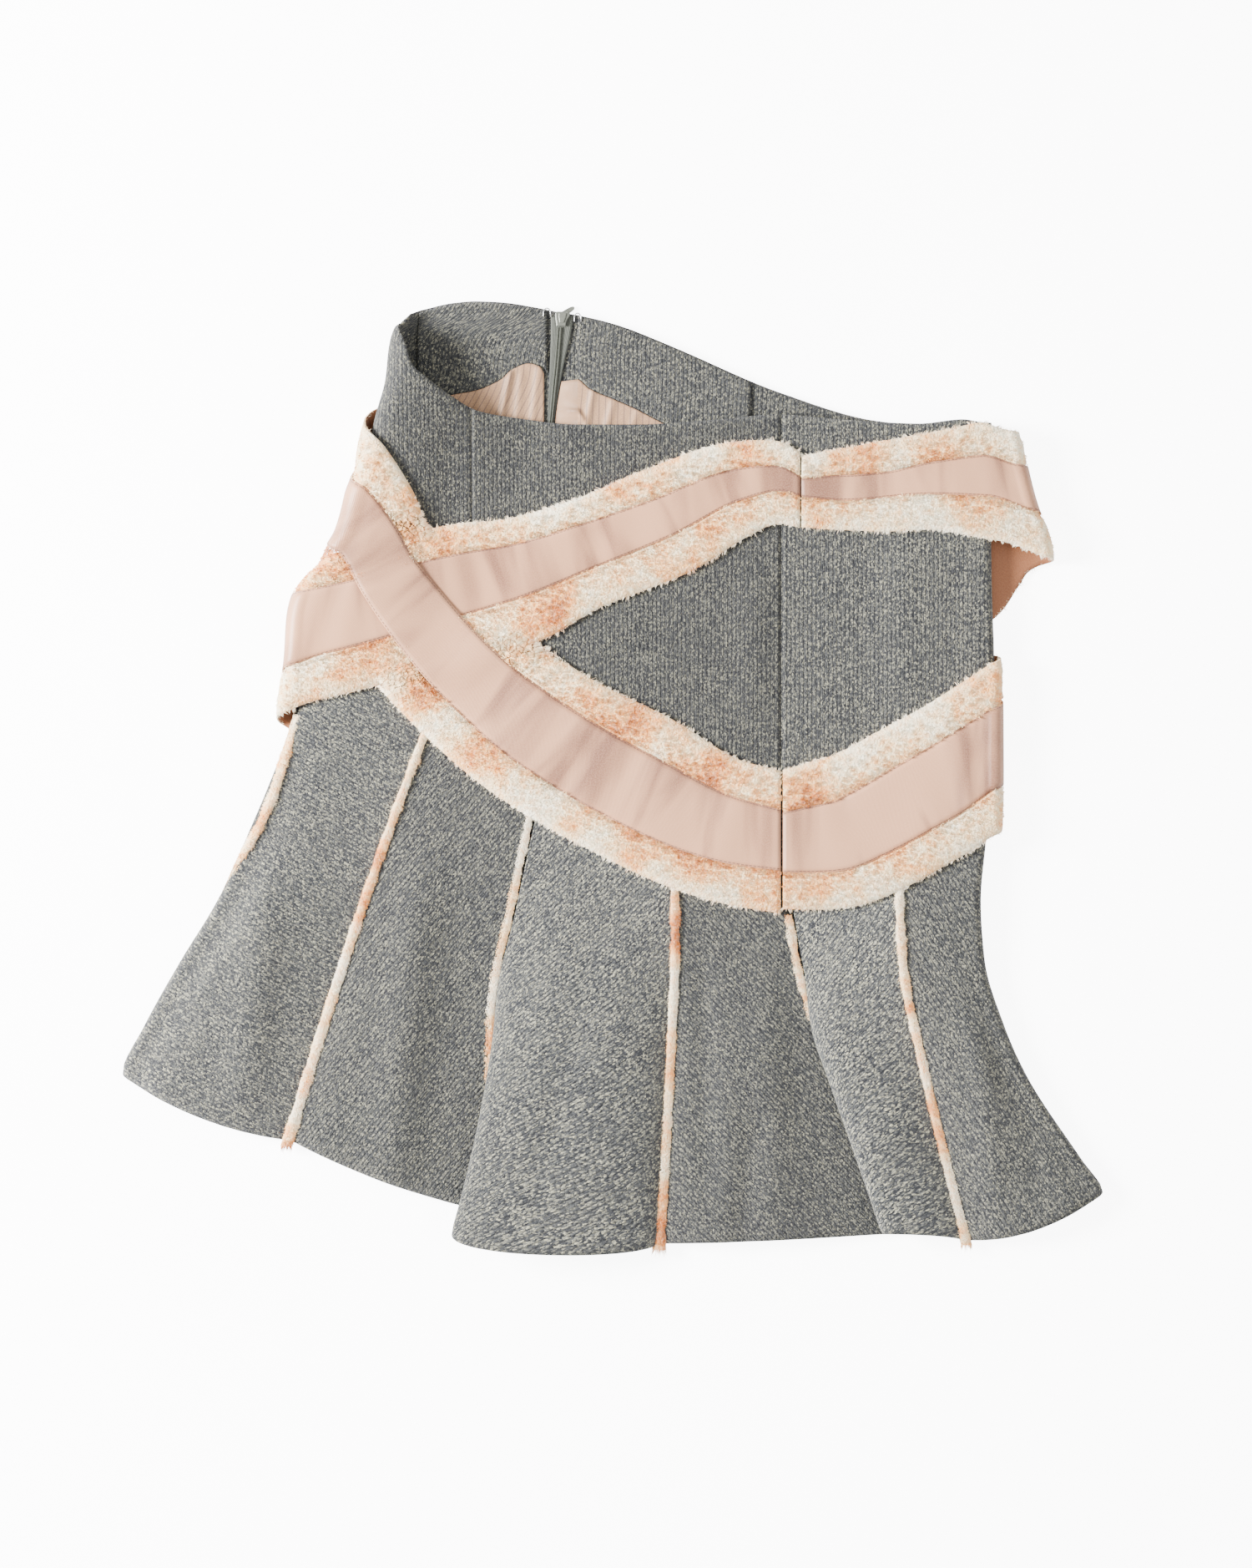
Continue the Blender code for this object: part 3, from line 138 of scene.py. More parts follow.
# The gores: left seam, right seam, lean and rise at the left, lean and rise at the right, lift at the
# left, sag. Lean and rise (mm) shape the section from each seam: lean swings the cloth over the seam as a
# fold, rise puffs it up. Lift (mm) raises an edge over the seam's piping, and sag (drawing units) bends the
# hem down.
GORES = (
    (1, 2, 0, 11, 0, 9, 0, 17),
    (2, 3, 0, 12, 0, 0, 0, 8),
    (3, 4, 128, 27, 24, 21, 5.4, 26),
    (4, 5, 0, 14, 0, 0, 0, 1),
    (5, 6, 50, 24, 0, 11, 5.0, -6),
    (6, 7, 0, 13, 0, 0, 0, 22),
    (7, 8, 0, 0, 0, 0, 0, 8),
    (8, 9, 0, 0, 0, 0, 0, 8),
    (9, 10, 0, 0, 0, 0, 0, 8),
    (10, 11, 0, 0, 0, 0, 0, 5),
    (11, 0, 0, 0, 0, 0, 0, 2),
    (0, 1, 0, 0, 0, 0, 0, 2),
)
# The trim bands along their centre lines: across, down, ribbon width, plush above it, plush below it
LOW_LEFT = (
    (935, 1006, 72, 45, 50), (870, 993, 80, 44, 47), (755, 942, 91, 49, 44), (640, 873, 90, 42, 46),
    (575, 820, 84, 42, 46), (535, 779, 82, 42, 46), (499, 735, 80, 44, 46), (466, 690, 75, 38, 46),
    (444, 650, 73, 32, 44), (417, 614, 72, 40, 44), (360, 568, 72, 60, 42), (290, 524, 72, 50, 42),
    (215, 499, 72, 34, 42),
)
LOW_RIGHT = (
    (937.6, 1009, 72, 50, 43), (1005, 1001, 84, 52, 44), (1040, 986, 86, 48, 45), (1099, 953, 88, 46, 44),
    (1137, 931, 88, 44, 44), (1188, 897, 80, 44, 44), (1240, 856, 76, 30, 44), (1330, 786, 74, 30, 42),
    (1640, 544, 72, 38, 42), (1722, 499, 72, 34, 42),
)
HIGH_LEFT = (
    (958, 583, 22, 28, 36), (931, 574, 30, 29, 39), (885, 581, 38, 32, 44), (795, 620, 49, 36, 48),
    (700, 656, 55, 30, 46), (620, 684, 64, 31, 56), (566, 697, 72, 35, 54), (500, 714, 76, 36, 52),
    (430, 734, 77, 34, 52), (390, 744, 77, 34, 50), (345, 760, 76, 36, 50), (285, 808, 66, 38, 48),
    (45, 1008, 52, 36, 40),
)
HIGH_RIGHT = (
    (959.6, 585, 22, 27, 36), (1013, 585, 31, 32, 35), (1064, 581, 31, 37, 41), (1115, 574, 39, 35, 42),
    (1179, 571, 48, 37, 50), (1222, 584, 48, 36, 48), (1268, 597, 48, 36, 48), (1317, 624, 48, 36, 46),
    (1380, 688, 50, 36, 44), (1496, 756, 52, 36, 44), (1936, 1008, 52, 36, 40),
)
# The lower edge of the waist facing, as seen on the inner back: across, down
FACING_EDGE = ((478, 484), (540, 472), (573, 466), (597, 456), (622, 438), (636, 434), (650, 438), (656, 448))
FACING_EDGE_RIGHT = ((673, 456), (691, 453), (707, 465), (735, 477), (760, 488), (800, 508), (960, 560))
LINING_END = 566.0        # how far down the lining is made
INNER_MIDDLE = 674        # places past this, across, are unrolled from the right
# The zip tape, down and its two edges across, and the middle of the coils, down and across
ZIP_TAPE = ((378, 660, 687), (400, 660, 684), (430, 659, 677), (455, 658, 672), (506, 656, 664),
            (560, 656, 661))
COILS = ((392, 670.5), (430, 667.5), (470, 663.5), (506, 660.0), (556, 657.0))
# Where the bands cross: across in the low and in the high band, down, then the directions (x, y) of the
# low and the high band
CROSSINGS = ((486, 486, 717, 0.60, 0.80, 0.967, -0.27), (1370, 1496, 755, 0.785, -0.62, 0.866, 0.5))
# Where each piping comes out from under the trim, down, and those that run further up under it
PIPING_TOPS = (965, 856, 884, 991, 1078, 1096, 1074, 1010, 880, 905, 1000, 1082)
HIGHER_PIPINGS = (2, 3, 4, 6)
HIGHER_BY = 14.0
# How far a piping's tuft hangs past the hem, in drawing units; the other pipings stop short of it
TUFTS = {2: 8.0, 4: 7.0, 6: 6.0}
# The facing, the lining and the tape lie between these heights above the back's middle
INNER_LOW_MM = 1.5
INNER_HIGH_MM = 2.5
# The zip's pull as seen: its hinge and its tip (across, down), and its heights above the back's middle
PULL_HINGE = (672.0, 376.0)
PULL_TIP = (688.0, 366.5)
PULL_HALF = 3.0
PULL_LOW_MM = -3.3
PULL_HIGH_MM = -2.2

# Soft creases of the front: from (across, down), to (across, down), half width in mm, height in mm
CREASES = (
    (906, 1340, 890, 1478, 9.0, -2.2),
    (860, 1320, 850, 1480, 12.0, 1.2),
    (1170, 1200, 1190, 1440, 10.0, 3.2),
    (904, 700, 902, 850, 12.0, 2.2),
    (1080, 660, 1080, 850, 14.0, 1.8),
    (1150, 660, 1146, 800, 9.0, -0.8),
    (500, 1060, 470, 1400, 16.0, 4.2),
    (700, 1180, 640, 1440, 13.0, -1.4),
    (316, 1080, 290, 1310, 15.0, 3.6),
    (240, 1180, 180, 1280, 12.0, -1.4),
    (842, 1150, 850, 1440, 9.0, -2.4),
    (918, 1150, 926, 1440, 15.0, 2.2),
    (1222, 1260, 1244, 1420, 8.0, -1.6),
    (540, 520, 530, 640, 14.0, -1.4),
    (700, 800, 760, 740, 10.0, 0.7),
    (620, 540, 600, 600, 12.0, -0.7),
    (840, 530, 700, 570, 10.0, 0.6),
)

# Pleats of the lining as seen, in the order of the creases
LINING_PLEATS = (
    (612, 444, 596, 520, 1.8, 2.0),
    (625, 446, 618, 520, 2.6, 0.9),
    (646, 438, 636, 520, 2.4, 1.0),
    (575, 470, 570, 520, 2.6, 1.0),
    (690, 490, 699, 503, 1.5, 1.9),
    (712, 462, 700, 520, 2.2, 1.2),
    (735, 480, 722, 530, 2.4, 1.1),
    (678, 466, 686, 530, 2.2, 1.1),
    (765, 490, 750, 530, 2.4, 0.8),
)

# Which way the wales of each panel run, in degrees from straight down the skirt
GRAIN_TURNS = {
    "hip_front_left": 0.0, "hip_front_right": 0.0, "hip_back_left": 0.0, "hip_back_right": 0.0,
    "gore_0": 60.0, "gore_1": -40.0, "gore_2": -45.0, "gore_3": 45.0, "gore_4": -35.0, "gore_5": 35.0,
    "gore_6": -40.0, "gore_7": 40.0, "gore_8": -40.0, "gore_9": 40.0, "gore_10": -40.0, "gore_11": 40.0,
}

# Painted light and shade: how bright each of these panels' knit is coloured, for how the light falls on it;
# the others have the usual brightness
USUAL_TONE = 0.63
PANEL_PAINTED_SHADES = {"hip_front_left": 0.48, "hip_back_left": 0.48, "hip_front_right": 0.74, "gore_0": 0.96,
               "gore_2": 1.06, "gore_4": 1.4, "gore_5": 0.74}

# How a gore swings over its piping, by its left seam: where on the seam it starts, the power that it grows
# by, how far of its whole way it swings, where its edge starts to pass over the piping, and how far it goes
USUAL_FOLD = (0.32, 1.6, 1.0, 1.0, 0.0)
GORE_FOLDS = {5: (0.22, 0.8, 0.85, 0.3, 15.0)}

# Half the width of each piping at its top, in drawing units, and how much wider it grows towards its hem
PIPING_WIDE = (4.4, 6.4, 5.6, 6.0, 5.4, 6.0, 5.4, 3.8, 4.0, 3.8, 3.8, 3.8)
PIPING_SWELL = (0.2, 0.3, 0.6, 0.4, 0.6, 0.2, 0.5, 0.2, 0.2, 0.2, 0.2, 0.2)

# Pile: hairs in a square mm, the width of one hair, and how far hairs of a tuft draw together
FRONT_HAIRS = 2.5
BACK_HAIRS = 0.5
HAIR_MM = 0.40
TUFT_MM = 3.6
TUFT_PULL = 0.7
FLOOR_CLEAR_M = 0.00015   # no hair goes below this
HAIR_SHARE = 1.0

# Grids: rows and columns of the yoke's panels, the front gores and the back gores
YOKE_GRIDS = {"hip_front_left": (90, 70), "hip_front_right": (90, 90), "hip_back_left": (90, 90),
              "hip_back_right": (60, 60)}
FRONT_GORE_GRID = (70, 56)
BACK_GORE_GRID = (40, 24)
FRONT_GORES = 6           # the first gores are on the front
PIPING_ROWS = 90

# How the trim lies: where its sections turn to meet an end (units), how it stands off a side fold (mm)
END_REACH = 110.0
STAND_OFF_MM = {"low": 1.6, "high": 0.9}
BACK_SHEET_MM = 2.2       # the backing's height on the back; on the front it is BASE_TOP_MM
BACK_RIBBON_MM = (2.5, 3.2)      # a ribbon's lower and upper side on the back
LEAST_AREA_SHARE = 0.301  # of a sheet's width times its length

# Zip: the facing's, the lining's and the coils' sizes
FACING_MM = 1.3
LINING_MM = 0.7
COIL_ROWS = 330
COIL_PITCH_ROWS = 4.4
TAPE_ROWS = 60
TAPE_COLS = 9
COIL_COLS = 7

# Where the pile of a band runs on past its backing, to meet the band that crosses it, and the end (first 0,
# last -1) where it is thicker: within THICK_REACH of that end, fading out, by THICK_MORE times
PILE_REACHES = {"band_low_left_lower": {"last": 536.0}, "band_low_left_upper": {"first": 452.0}}
THICK_END = {"band_low_left_lower": -1, "band_low_left_upper": 0}
THICK_REACH = (46.0, 60.0)
THICK_MORE = 4.0

# The slider as seen: its spade-shaped body, its raised middle and its neck, then the pull's outline as shares
# of its length and of half its width
SLIDER_OUTLINE = ((665.2, 375.0), (667.0, 373.2), (681.0, 373.2), (682.8, 375.0), (682.6, 378.5),
                  (680.2, 382.0), (678.4, 386.0), (677.6, 390.6), (666.8, 390.6), (666.2, 386.0),
                  (665.4, 380.0))
SLIDER_CROWN = ((669.6, 375.4), (678.6, 375.4), (678.0, 379.5), (675.4, 386.5), (670.4, 386.5),
                (669.4, 379.5))
SLIDER_NECK = ((670.7, 374.0), (673.3, 374.0), (673.3, 377.4), (670.7, 377.4))
PULL_OUTLINE = ((0.0, -0.7), (0.15, -1.0), (0.7, -1.0), (0.9, -0.75), (1.0, -0.3), (1.0, 0.3), (0.9, 0.75),
                (0.7, 1.0), (0.15, 1.0), (0.0, 0.7))

# The hook and the eye as seen: name, across from and to, down from and to
HOOKS = (("hook", 651.0, 659.5, 369.0, 375.0), ("eye", 688.0, 696.0, 375.0, 381.0))
ROUND_SIDES = 10          # corners of a cord's or a wire's section

# Light: the world's strength, then each soft lamp's place, size in metres and power in watts
WORLD_LIGHT = 1.12
FLOOR_GLOW = 8.0          # the floor's own light, seen by the camera alone
LIGHTS = (
    ("key_light", (-1.8, 0.3, 1.0), 0.8, 260.0),
    ("fill_light", (1.4, -0.4, 1.9), 1.6, 22.0),
)
CAMERA_PLACE = (0.00848, -0.00467, 2.358)
CAMERA_LENS_MM = 85.0
CAMERA_SENSOR_MM = 36.0


def smoothstep(low, high, value):
    """Rise from 0 to 1 between two values."""
    t = np.clip((np.asarray(value, float) - low) / (high - low), 0.0, 1.0)
    return t * t * (3.0 - 2.0 * t)


def follow(xs, ys, at):
    """Read a table smoothly, with no overshoot between its rows."""
    xs = np.asarray(xs, float)
    ys = np.asarray(ys, float)
    at = np.clip(np.asarray(at, float), xs[0], xs[-1])
    step = np.diff(xs)
    secant = np.diff(ys) / step
    slope = np.zeros(len(xs))
    slope[0] = secant[0]
    slope[-1] = secant[-1]
    product = secant[:-1] * secant[1:]
    total = np.where(product > 0, secant[:-1] + secant[1:], 1.0)
    slope[1:-1] = np.where(product > 0, 2.0 * product / total, 0.0)
    row = np.clip(np.searchsorted(xs, at) - 1, 0, len(xs) - 2)
    h = step[row]
    t = (at - xs[row]) / h
    return ((1 + 2 * t) * (1 - t) ** 2 * ys[row] + t * (1 - t) ** 2 * h * slope[row]
            + t * t * (3 - 2 * t) * ys[row + 1] + t * t * (t - 1) * h * slope[row + 1])


def columns(table):
    """Turn rows into columns."""
    return [np.array(column, float) for column in zip(*table)]


def fold_lines(down):
    """The side folds and the heights of the skirt at a distance down, in millimetres."""
    rows = columns(FOLDS)
    values = [follow(rows[0], column, down) for column in rows[1:]]
    values[0] = values[0] * UNIT_MM
    values[1] = values[1] * UNIT_MM
    return values


def place(across, down, out, left_fold=None, right_fold=None):
    """Wrap points of the unrolled plane round the folds. out is mm outward."""
    across, down, out = np.broadcast_arrays(*[np.asarray(v, float) for v in (across, down, out)])
    left, right, r_left, r_mid, r_right, back = fold_lines(down)
    x = across * UNIT_MM
    near_left = 1.0 - smoothstep(0.0, BLEND_MM, x - left - r_left)
    near_right = 1.0 - smoothstep(0.0, BLEND_MM, right - r_right - x)
    level = back + 2.0 * (r_mid + (r_left - r_mid) * near_left + (r_right - r_mid) * near_right)
    on_top = (smoothstep(0.0, RELIEF_FADE_MM, x - left - r_left)
              * smoothstep(0.0, RELIEF_FADE_MM, right - r_right - x))
    level = level + relief(across, down) * on_top
    own_left = left if left_fold is None else follow(*columns(left_fold), down) * UNIT_MM
    own_right = right if right_fold is None else follow(*columns(right_fold), down) * UNIT_MM
    px = x.copy()
    pz = level + out
    for side, edge, radius in ((-1.0, own_left, r_left), (1.0, own_right, r_right)):
        start = edge - side * radius
        past = (x - start) * side
        turn = np.clip(past / radius, 0.0, math.pi)
        beyond = np.maximum(past - math.pi * radius, 0.0)
        wrapped = past > 0.0
        px = np.where(wrapped, start + side * ((radius + out) * np.sin(turn) - beyond), px)
        pz = np.where(wrapped, back + radius + (radius + out) * np.cos(turn), pz)
    return np.stack([px, -down * UNIT_MM, pz], axis=-1) * 0.001 + np.array(MOVED)


def unroll(across, down, front, right_side, own_fold=None):
    """The unrolled place of a point that is seen at a place across and down, on the front or back."""
    left, right, r_left, _, r_right, _ = [float(v) for v in fold_lines(down)]
    if own_fold is not None:
        left = right = float(follow(*columns(own_fold), down)) * UNIT_MM
    x = across * UNIT_MM
    side, edge, radius = (1.0, right, r_right) if right_side else (-1.0, left, r_left)
    start = edge - side * radius
    past = (x - start) * side
    if past < 0.0:
        if front:
            return across
        return (start + side * (math.pi * radius - past)) / UNIT_MM
    turn = math.asin(min(past / radius, 1.0))
    if not front:
        turn = math.pi - turn
    return (start + side * radius * turn) / UNIT_MM


def centre_back(down, right_side, own_fold=None):
    """The centre back line in the unrolled plane, from either side."""
    seen = follow(*columns(CENTRE_BACK), down)
    return unroll(float(seen), float(down), False, right_side, own_fold)


WAIST_FLAT = [(unroll(x, y, front, row > 20), y) for row, (x, y, front) in enumerate(WAIST)]


def waist(across):
    """The waist edge's place down, for places across the unrolled plane."""
    return follow(*columns(WAIST_FLAT), across)


def yoke_seam(across):
    """The seam below the yoke, for places across the unrolled plane."""
    return follow(*columns(YOKE_SEAM), across)


def normals(grid):
    """Unit normals of a grid of points."""
    du = np.gradient(grid, axis=1)
    dv = np.gradient(grid, axis=0)
    cross = np.cross(dv, du)
    return cross / np.maximum(np.linalg.norm(cross, axis=-1, keepdims=True), 1e-12)


def fold_shares(start, end, count):
    """Shares from one point of the unrolled plane to another, closer together round the side folds."""
    fine = np.linspace(0.0, 1.0, 400)
    x = (start[0] + (end[0] - start[0]) * fine) * UNIT_MM
    left, right, r_left, _, r_right, _ = fold_lines(start[1] + (end[1] - start[1]) * fine)
    wait = np.ones(400)
    for turn in ((x - left) / r_left, (right - x) / r_right):
        wait = np.where((turn > -2.6) & (turn < 1.5), 0.34, wait)
    share = np.concatenate([[0.0], np.cumsum(1.0 / wait[1:])])
    return np.interp(np.linspace(0.0, share[-1], count), share, fine)


def seam_point(index, t, right_side):
    """A gore seam in the unrolled plane, t from the yoke (0) to the hem (1)."""
    _, front, *spots = SEAMS[index]
    xs, ys = columns(spots)
    ys[0] = float(yoke_seam(xs[0] if front else unroll(xs[0], 930.0, False, right_side)))
    steps = np.array((0.0, 1.0 / 3.0, 2.0 / 3.0, 1.0))
    x, y = float(follow(steps, xs, t)), float(follow(steps, ys, t))
    return (x if front else unroll(x, y, False, right_side)), y


def share_at(table, across, default):
    """How far along a band its centre line passes a place across."""
    if across is None:
        return default
    x, y = columns(table)[:2]
    run = np.concatenate([[0.0], np.cumsum(np.hypot(np.diff(x), np.diff(y)))])
    order = np.argsort(x)
    return float(np.interp(across, x[order], run[order] / run[-1]))


def station_places(run, x, y, folds, spacing, wide_left):
    """Stations along a band: close together round a side fold, wider on the front, widest on the flat back.

    Gives fine shares of the band's length, how many stations lie before each, and how far each is from
    either side fold, in that fold's radius. wide_left is how far the left fold reaches where it runs
    along the band."""
    fine = np.linspace(0.0, 1.0, 600)
    cx, cy = follow(run, x, fine), follow(run, y, fine)
    _, _, r_left, _, r_right, _ = fold_lines(cy)
    left = follow(*columns(folds[0]), cy) * UNIT_MM
    right = follow(*columns(folds[1]), cy) * UNIT_MM
    from_left = (cx * UNIT_MM - left) / r_left
    from_right = (right - cx * UNIT_MM) / r_right
    front = smoothstep(-3.0, 0.0, from_left) * smoothstep(-3.0, 0.0, from_right)
    wait = spacing[1] + (spacing[0] - spacing[1]) * front
    edge = wide_left * UNIT_MM / r_left
    for turn, reach, close in ((from_left, edge, spacing[2] * (1.6 if wide_left else 1.0)),
                               (from_right, 0.0, spacing[2])):
        near = smoothstep(-2.6 - reach, -2.0 - reach, turn)
        near = near * (1.0 - smoothstep(1.2 + reach, 1.9 + reach, turn))
        wait = wait + (close - wait) * near
    length = np.concatenate([[0.0], np.cumsum(np.hypot(np.diff(cx), np.diff(cy)))])
    density = 1.0 / wait
    count = np.concatenate([[0.0], np.cumsum((density[1:] + density[:-1]) / 2 * np.diff(length))])
    return fine, count, (from_left, from_right)


def band_strip(table, folds, offsets, spacing, start=None, end=None, first=None, last=None,
               turns=(None, UPRIGHT)):
    """Points of a band in the unrolled plane: stations along it, offsets across it.

    offsets gives places across as (zone, share): zone 0 is the plush below, 1 the ribbon, 2 the plush
    above. spacing is how far apart stations are on the front, on the back and round a side fold.
    Sections are square to the band, but turn to the directions start and end at its ends, and to
    turns where it rounds the left and the right side fold. first and last cut it short, across."""
    x, y, ribbon, above, below = columns(table)
    run = np.concatenate([[0.0], np.cumsum(np.hypot(np.diff(x), np.diff(y)))])
    size = run[-1]
    run /= size
    wide_left = 55.0 if turns[0] is None and x[-1] < x[0] else 0.0
    fine, count, (from_left, from_right) = station_places(run, x, y, folds, spacing, wide_left)
    ends = np.interp([share_at(table, first, 0.0), share_at(table, last, 1.0)], fine, count)
    stations = int(round(ends[1] - ends[0])) + 1
    s = np.interp(np.linspace(ends[0], ends[1], stations), count, fine)
    cx, cy = follow(run, x, s), follow(run, y, s)
    tx = follow(run, np.gradient(x, run), s)
    ty = follow(run, np.gradient(y, run), s)
    square = np.stack([ty, -tx], axis=1) / np.hypot(tx, ty)[:, None]
    square *= np.where(square[:, 1:] > 0, -1.0, 1.0)
    turned = square.copy()
    for turn, direction in zip((from_left, from_right), turns):
        if direction is not None:
            near = (1.0 - smoothstep(2.0, 15.0, np.abs(np.interp(s, fine, turn) + 0.6)))[:, None]
            turned = turned * (1.0 - near) + np.array(direction) * near
    for cut, at in ((start, s[0]), (end, s[-1])):
        if cut is not None:
            share = (1.0 - smoothstep(0.0, END_REACH, np.abs(s - at) * size))[:, None]
            turned = turned * (1.0 - share) + np.array(cut) * share
    turned /= np.linalg.norm(turned, axis=1, keepdims=True)
    stretch = 1.0 / np.maximum((turned * square).sum(axis=1), 0.45)
    widths = [follow(run, column, s) * stretch for column in (below, ribbon, above)]
    grid = np.zeros((stations, len(offsets), 2))
    for c, (zone, share) in enumerate(offsets):
        if zone == 0:
            reach = -widths[1] / 2 - widths[0] * (1 - share)
        elif zone == 1:
            reach = widths[1] * (share - 0.5)
        else:
            reach = widths[1] / 2 + widths[2] * share
        grid[:, c, 0] = cx + turned[:, 0] * reach
        grid[:, c, 1] = cy + turned[:, 1] * reach
    keep = limits(table, folds)
    for r in range(stations):
        for c in range(len(offsets)):
            low, high = keep(grid[r, c, 1])
            grid[r, c, 0] = min(max(grid[r, c, 0], low), high)
    return grid


def limits(table, folds):
    """Where a band ends at the centre front and the centre back, at a place down."""
    middle = FRONT_CENTRE if table in (LOW_LEFT, LOW_RIGHT) else HIGH_CENTRE
    if table in (LOW_LEFT, HIGH_LEFT):
        return lambda down: (centre_back(down, False, folds[0]) + ZIP_HALF_SLOT, middle - TRIM_CENTRE_GAP)
    return lambda down: (middle + TRIM_CENTRE_GAP, centre_back(down, True, folds[1]) - ZIP_HALF_SLOT)


def on_front(flat, left_fold, right_fold):
    """How far a point of the trim is on the front: 1 on it, 0 on the back."""
    _, _, r_left, _, r_right, _ = fold_lines(flat[..., 1])
    left = follow(*columns(left_fold), flat[..., 1]) * UNIT_MM
    right = follow(*columns(right_fold), flat[..., 1]) * UNIT_MM
    x = flat[..., 0] * UNIT_MM
    return smoothstep(-0.8, 0.8, (x - left) / r_left) * smoothstep(-0.8, 0.8, (right - x) / r_right)


def crossing_share(flat, of_low, near, far):
    """1 within a distance of the low (or high) band's line near a crossing, falling to 0 past it."""
    result = np.zeros(flat.shape[:-1])
    for in_low, in_high, y, low_x, low_y, high_x, high_y in CROSSINGS:
        dx, dy = flat[..., 0] - (in_high if of_low else in_low), flat[..., 1] - y
        ux, uy = (low_x, low_y) if of_low else (high_x, high_y)
        away = np.abs(dx * uy - dy * ux)
        close = 1.0 - smoothstep(150.0, 200.0, np.hypot(dx, dy))
        result = np.maximum(result, (1.0 - smoothstep(near, far, away)) * close)
    return result


def looseness(flat, folds):
    """How much the trim stands off where it rounds a side fold, in mm."""
    _, _, r_left, _, r_right, _ = fold_lines(flat[..., 1])
    x = flat[..., 0] * UNIT_MM
    left = follow(*columns(folds[0]), flat[..., 1]) * UNIT_MM
    right = follow(*columns(folds[1]), flat[..., 1]) * UNIT_MM
    turns = np.stack([(x - left) / r_left, (right - x) / r_right])
    at_left = STAND_OFF_MM["low" if folds[0] is LOW_LEFT_FOLD else "high"]
    stand_off = np.array((at_left, STAND_OFF_MM["high"])).reshape((2,) + (1,) * (turns.ndim - 1))
    return (stand_off * smoothstep(-1.9, -1.1, turns) * (1.0 - smoothstep(0.4, 1.3, turns))).max(axis=0)


def back_waist(x):
    """The back's waist edge as seen, at a place across."""
    seen = sorted((row[0], row[1]) for row in WAIST if not row[2])
    return follow(*columns(seen), x)


def flat_point(x, down, height_mm):
    """A point on the inner back, as seen, at a height above the back's middle."""
    return place(unroll(x, down, False, True), down, -height_mm)


def ridges(table, across, down, start, full):
    """Height in mm of soft ridges. Each rises between two shares of its length and falls alike at the end."""
    high = 0.0
    for x0, y0, x1, y1, half, rise in table:
        dx, dy = x1 - x0, y1 - y0
        length = math.hypot(dx, dy)
        along = ((across - x0) * dx + (down - y0) * dy) / length ** 2
        away = ((across - x0) * dy - (down - y0) * dx) / length * UNIT_MM
        ends = smoothstep(start, full, along) * (1.0 - smoothstep(1.0 - full, 1.0 - start, along))
        high = high + rise * ends * np.exp(-(away / half) ** 2)
    return high


def relief(across, down):
    """Height in mm of the soft creases and ridges of the front, with a faint unevenness."""
    high = 0.35 * np.sin(across / 41.0 + 1.3 * np.sin(down / 67.0)) * np.sin(down / 53.0 + 0.9)
    high = high + 0.22 * np.sin((across + down) / 23.0) * np.sin((across - down) / 31.0 + 2.0)
    return high + ridges(CREASES, across, down, -0.25, 0.2)


def mesh_from(name, verts, faces, materials, face_materials=None):
    """A smooth-shaded object from points and faces, with a material's number for each face if given."""
    mesh = bpy.data.meshes.new(name)
    mesh.from_pydata(verts.tolist(), [], faces)
    for material in materials:
        mesh.materials.append(material)
    mesh.polygons.foreach_set("use_smooth", np.ones(len(mesh.polygons), bool))
    if face_materials is not None:
        mesh.polygons.foreach_set("material_index", face_materials)
    thing = bpy.data.objects.new(name, mesh)
    bpy.context.scene.collection.objects.link(thing)
    return thing


def bar_faces(rows):
    """Faces round a bar of rings of ROUND_SIDES corners, with both ends closed."""
    index = np.arange(rows * ROUND_SIDES).reshape(rows, ROUND_SIDES)
    after = np.roll(index, -1, axis=1)
    faces = np.stack([index[:-1], after[:-1], after[1:], index[1:]], axis=-1).reshape(-1, 4).tolist()
    return faces + [index[0, ::-1].tolist(), index[-1].tolist()]


def add_map(thing, label, values):
    """A UV map from one pair of numbers for each vertex."""
    mesh = thing.data
    corner = np.zeros(len(mesh.loops), np.int32)
    mesh.loops.foreach_get("vertex_index", corner)
    layer = mesh.uv_layers.new(name=label)
    layer.data.foreach_set("uv", values[corner].astype(np.float32).ravel())


def slab(name, under, upper, cut, rim, materials):
    """A closed sheet between two grids. cut is the cloth's own place in metres, rim the way from its edge."""
    rows, cols = under.shape[:2]
    count = rows * cols
    index = np.arange(count).reshape(rows, cols)
    a, b, d, e = index[:-1, :-1], index[:-1, 1:], index[1:, :-1], index[1:, 1:]
    low = np.stack([a, b, e, d], axis=-1).reshape(-1, 4)
    top = np.stack([a, d, e, b], axis=-1).reshape(-1, 4) + count
    loop = np.concatenate([index[0, :], index[1:, -1], index[-1, -2::-1], index[-2:0:-1, 0]])
    after = np.roll(loop, -1)
    side = np.stack([after, loop, loop + count, after + count], axis=-1)
    verts = np.concatenate([under.reshape(-1, 3), upper.reshape(-1, 3)])
    faces = np.concatenate([low, top, side])
    lined = np.zeros(len(faces), np.int32)
    if len(materials) > 1:
        lined[:len(low)] = 1
    thing = mesh_from(name, verts, faces.tolist(), materials, lined)
    smooth = np.ones(len(faces), bool)
    smooth[len(low) + len(top):] = False
    thing.data.polygons.foreach_set("use_smooth", smooth)
    p, q, r, s = (verts[faces[:, k]] for k in range(4))
    volume = (np.cross(p, q) * r).sum() + (np.cross(p, r) * s).sum()
    if volume < 0.0:
        thing.data.flip_normals()
    both = np.concatenate([cut.reshape(-1, 2), cut.reshape(-1, 2)])
    add_map(thing, "Cut", both)
    edge = np.stack([rim[..., 0], np.minimum(rim[..., 1], rim[..., 2])], axis=-1).reshape(-1, 2)
    add_map(thing, "Rim", np.concatenate([edge, edge]))
    return thing


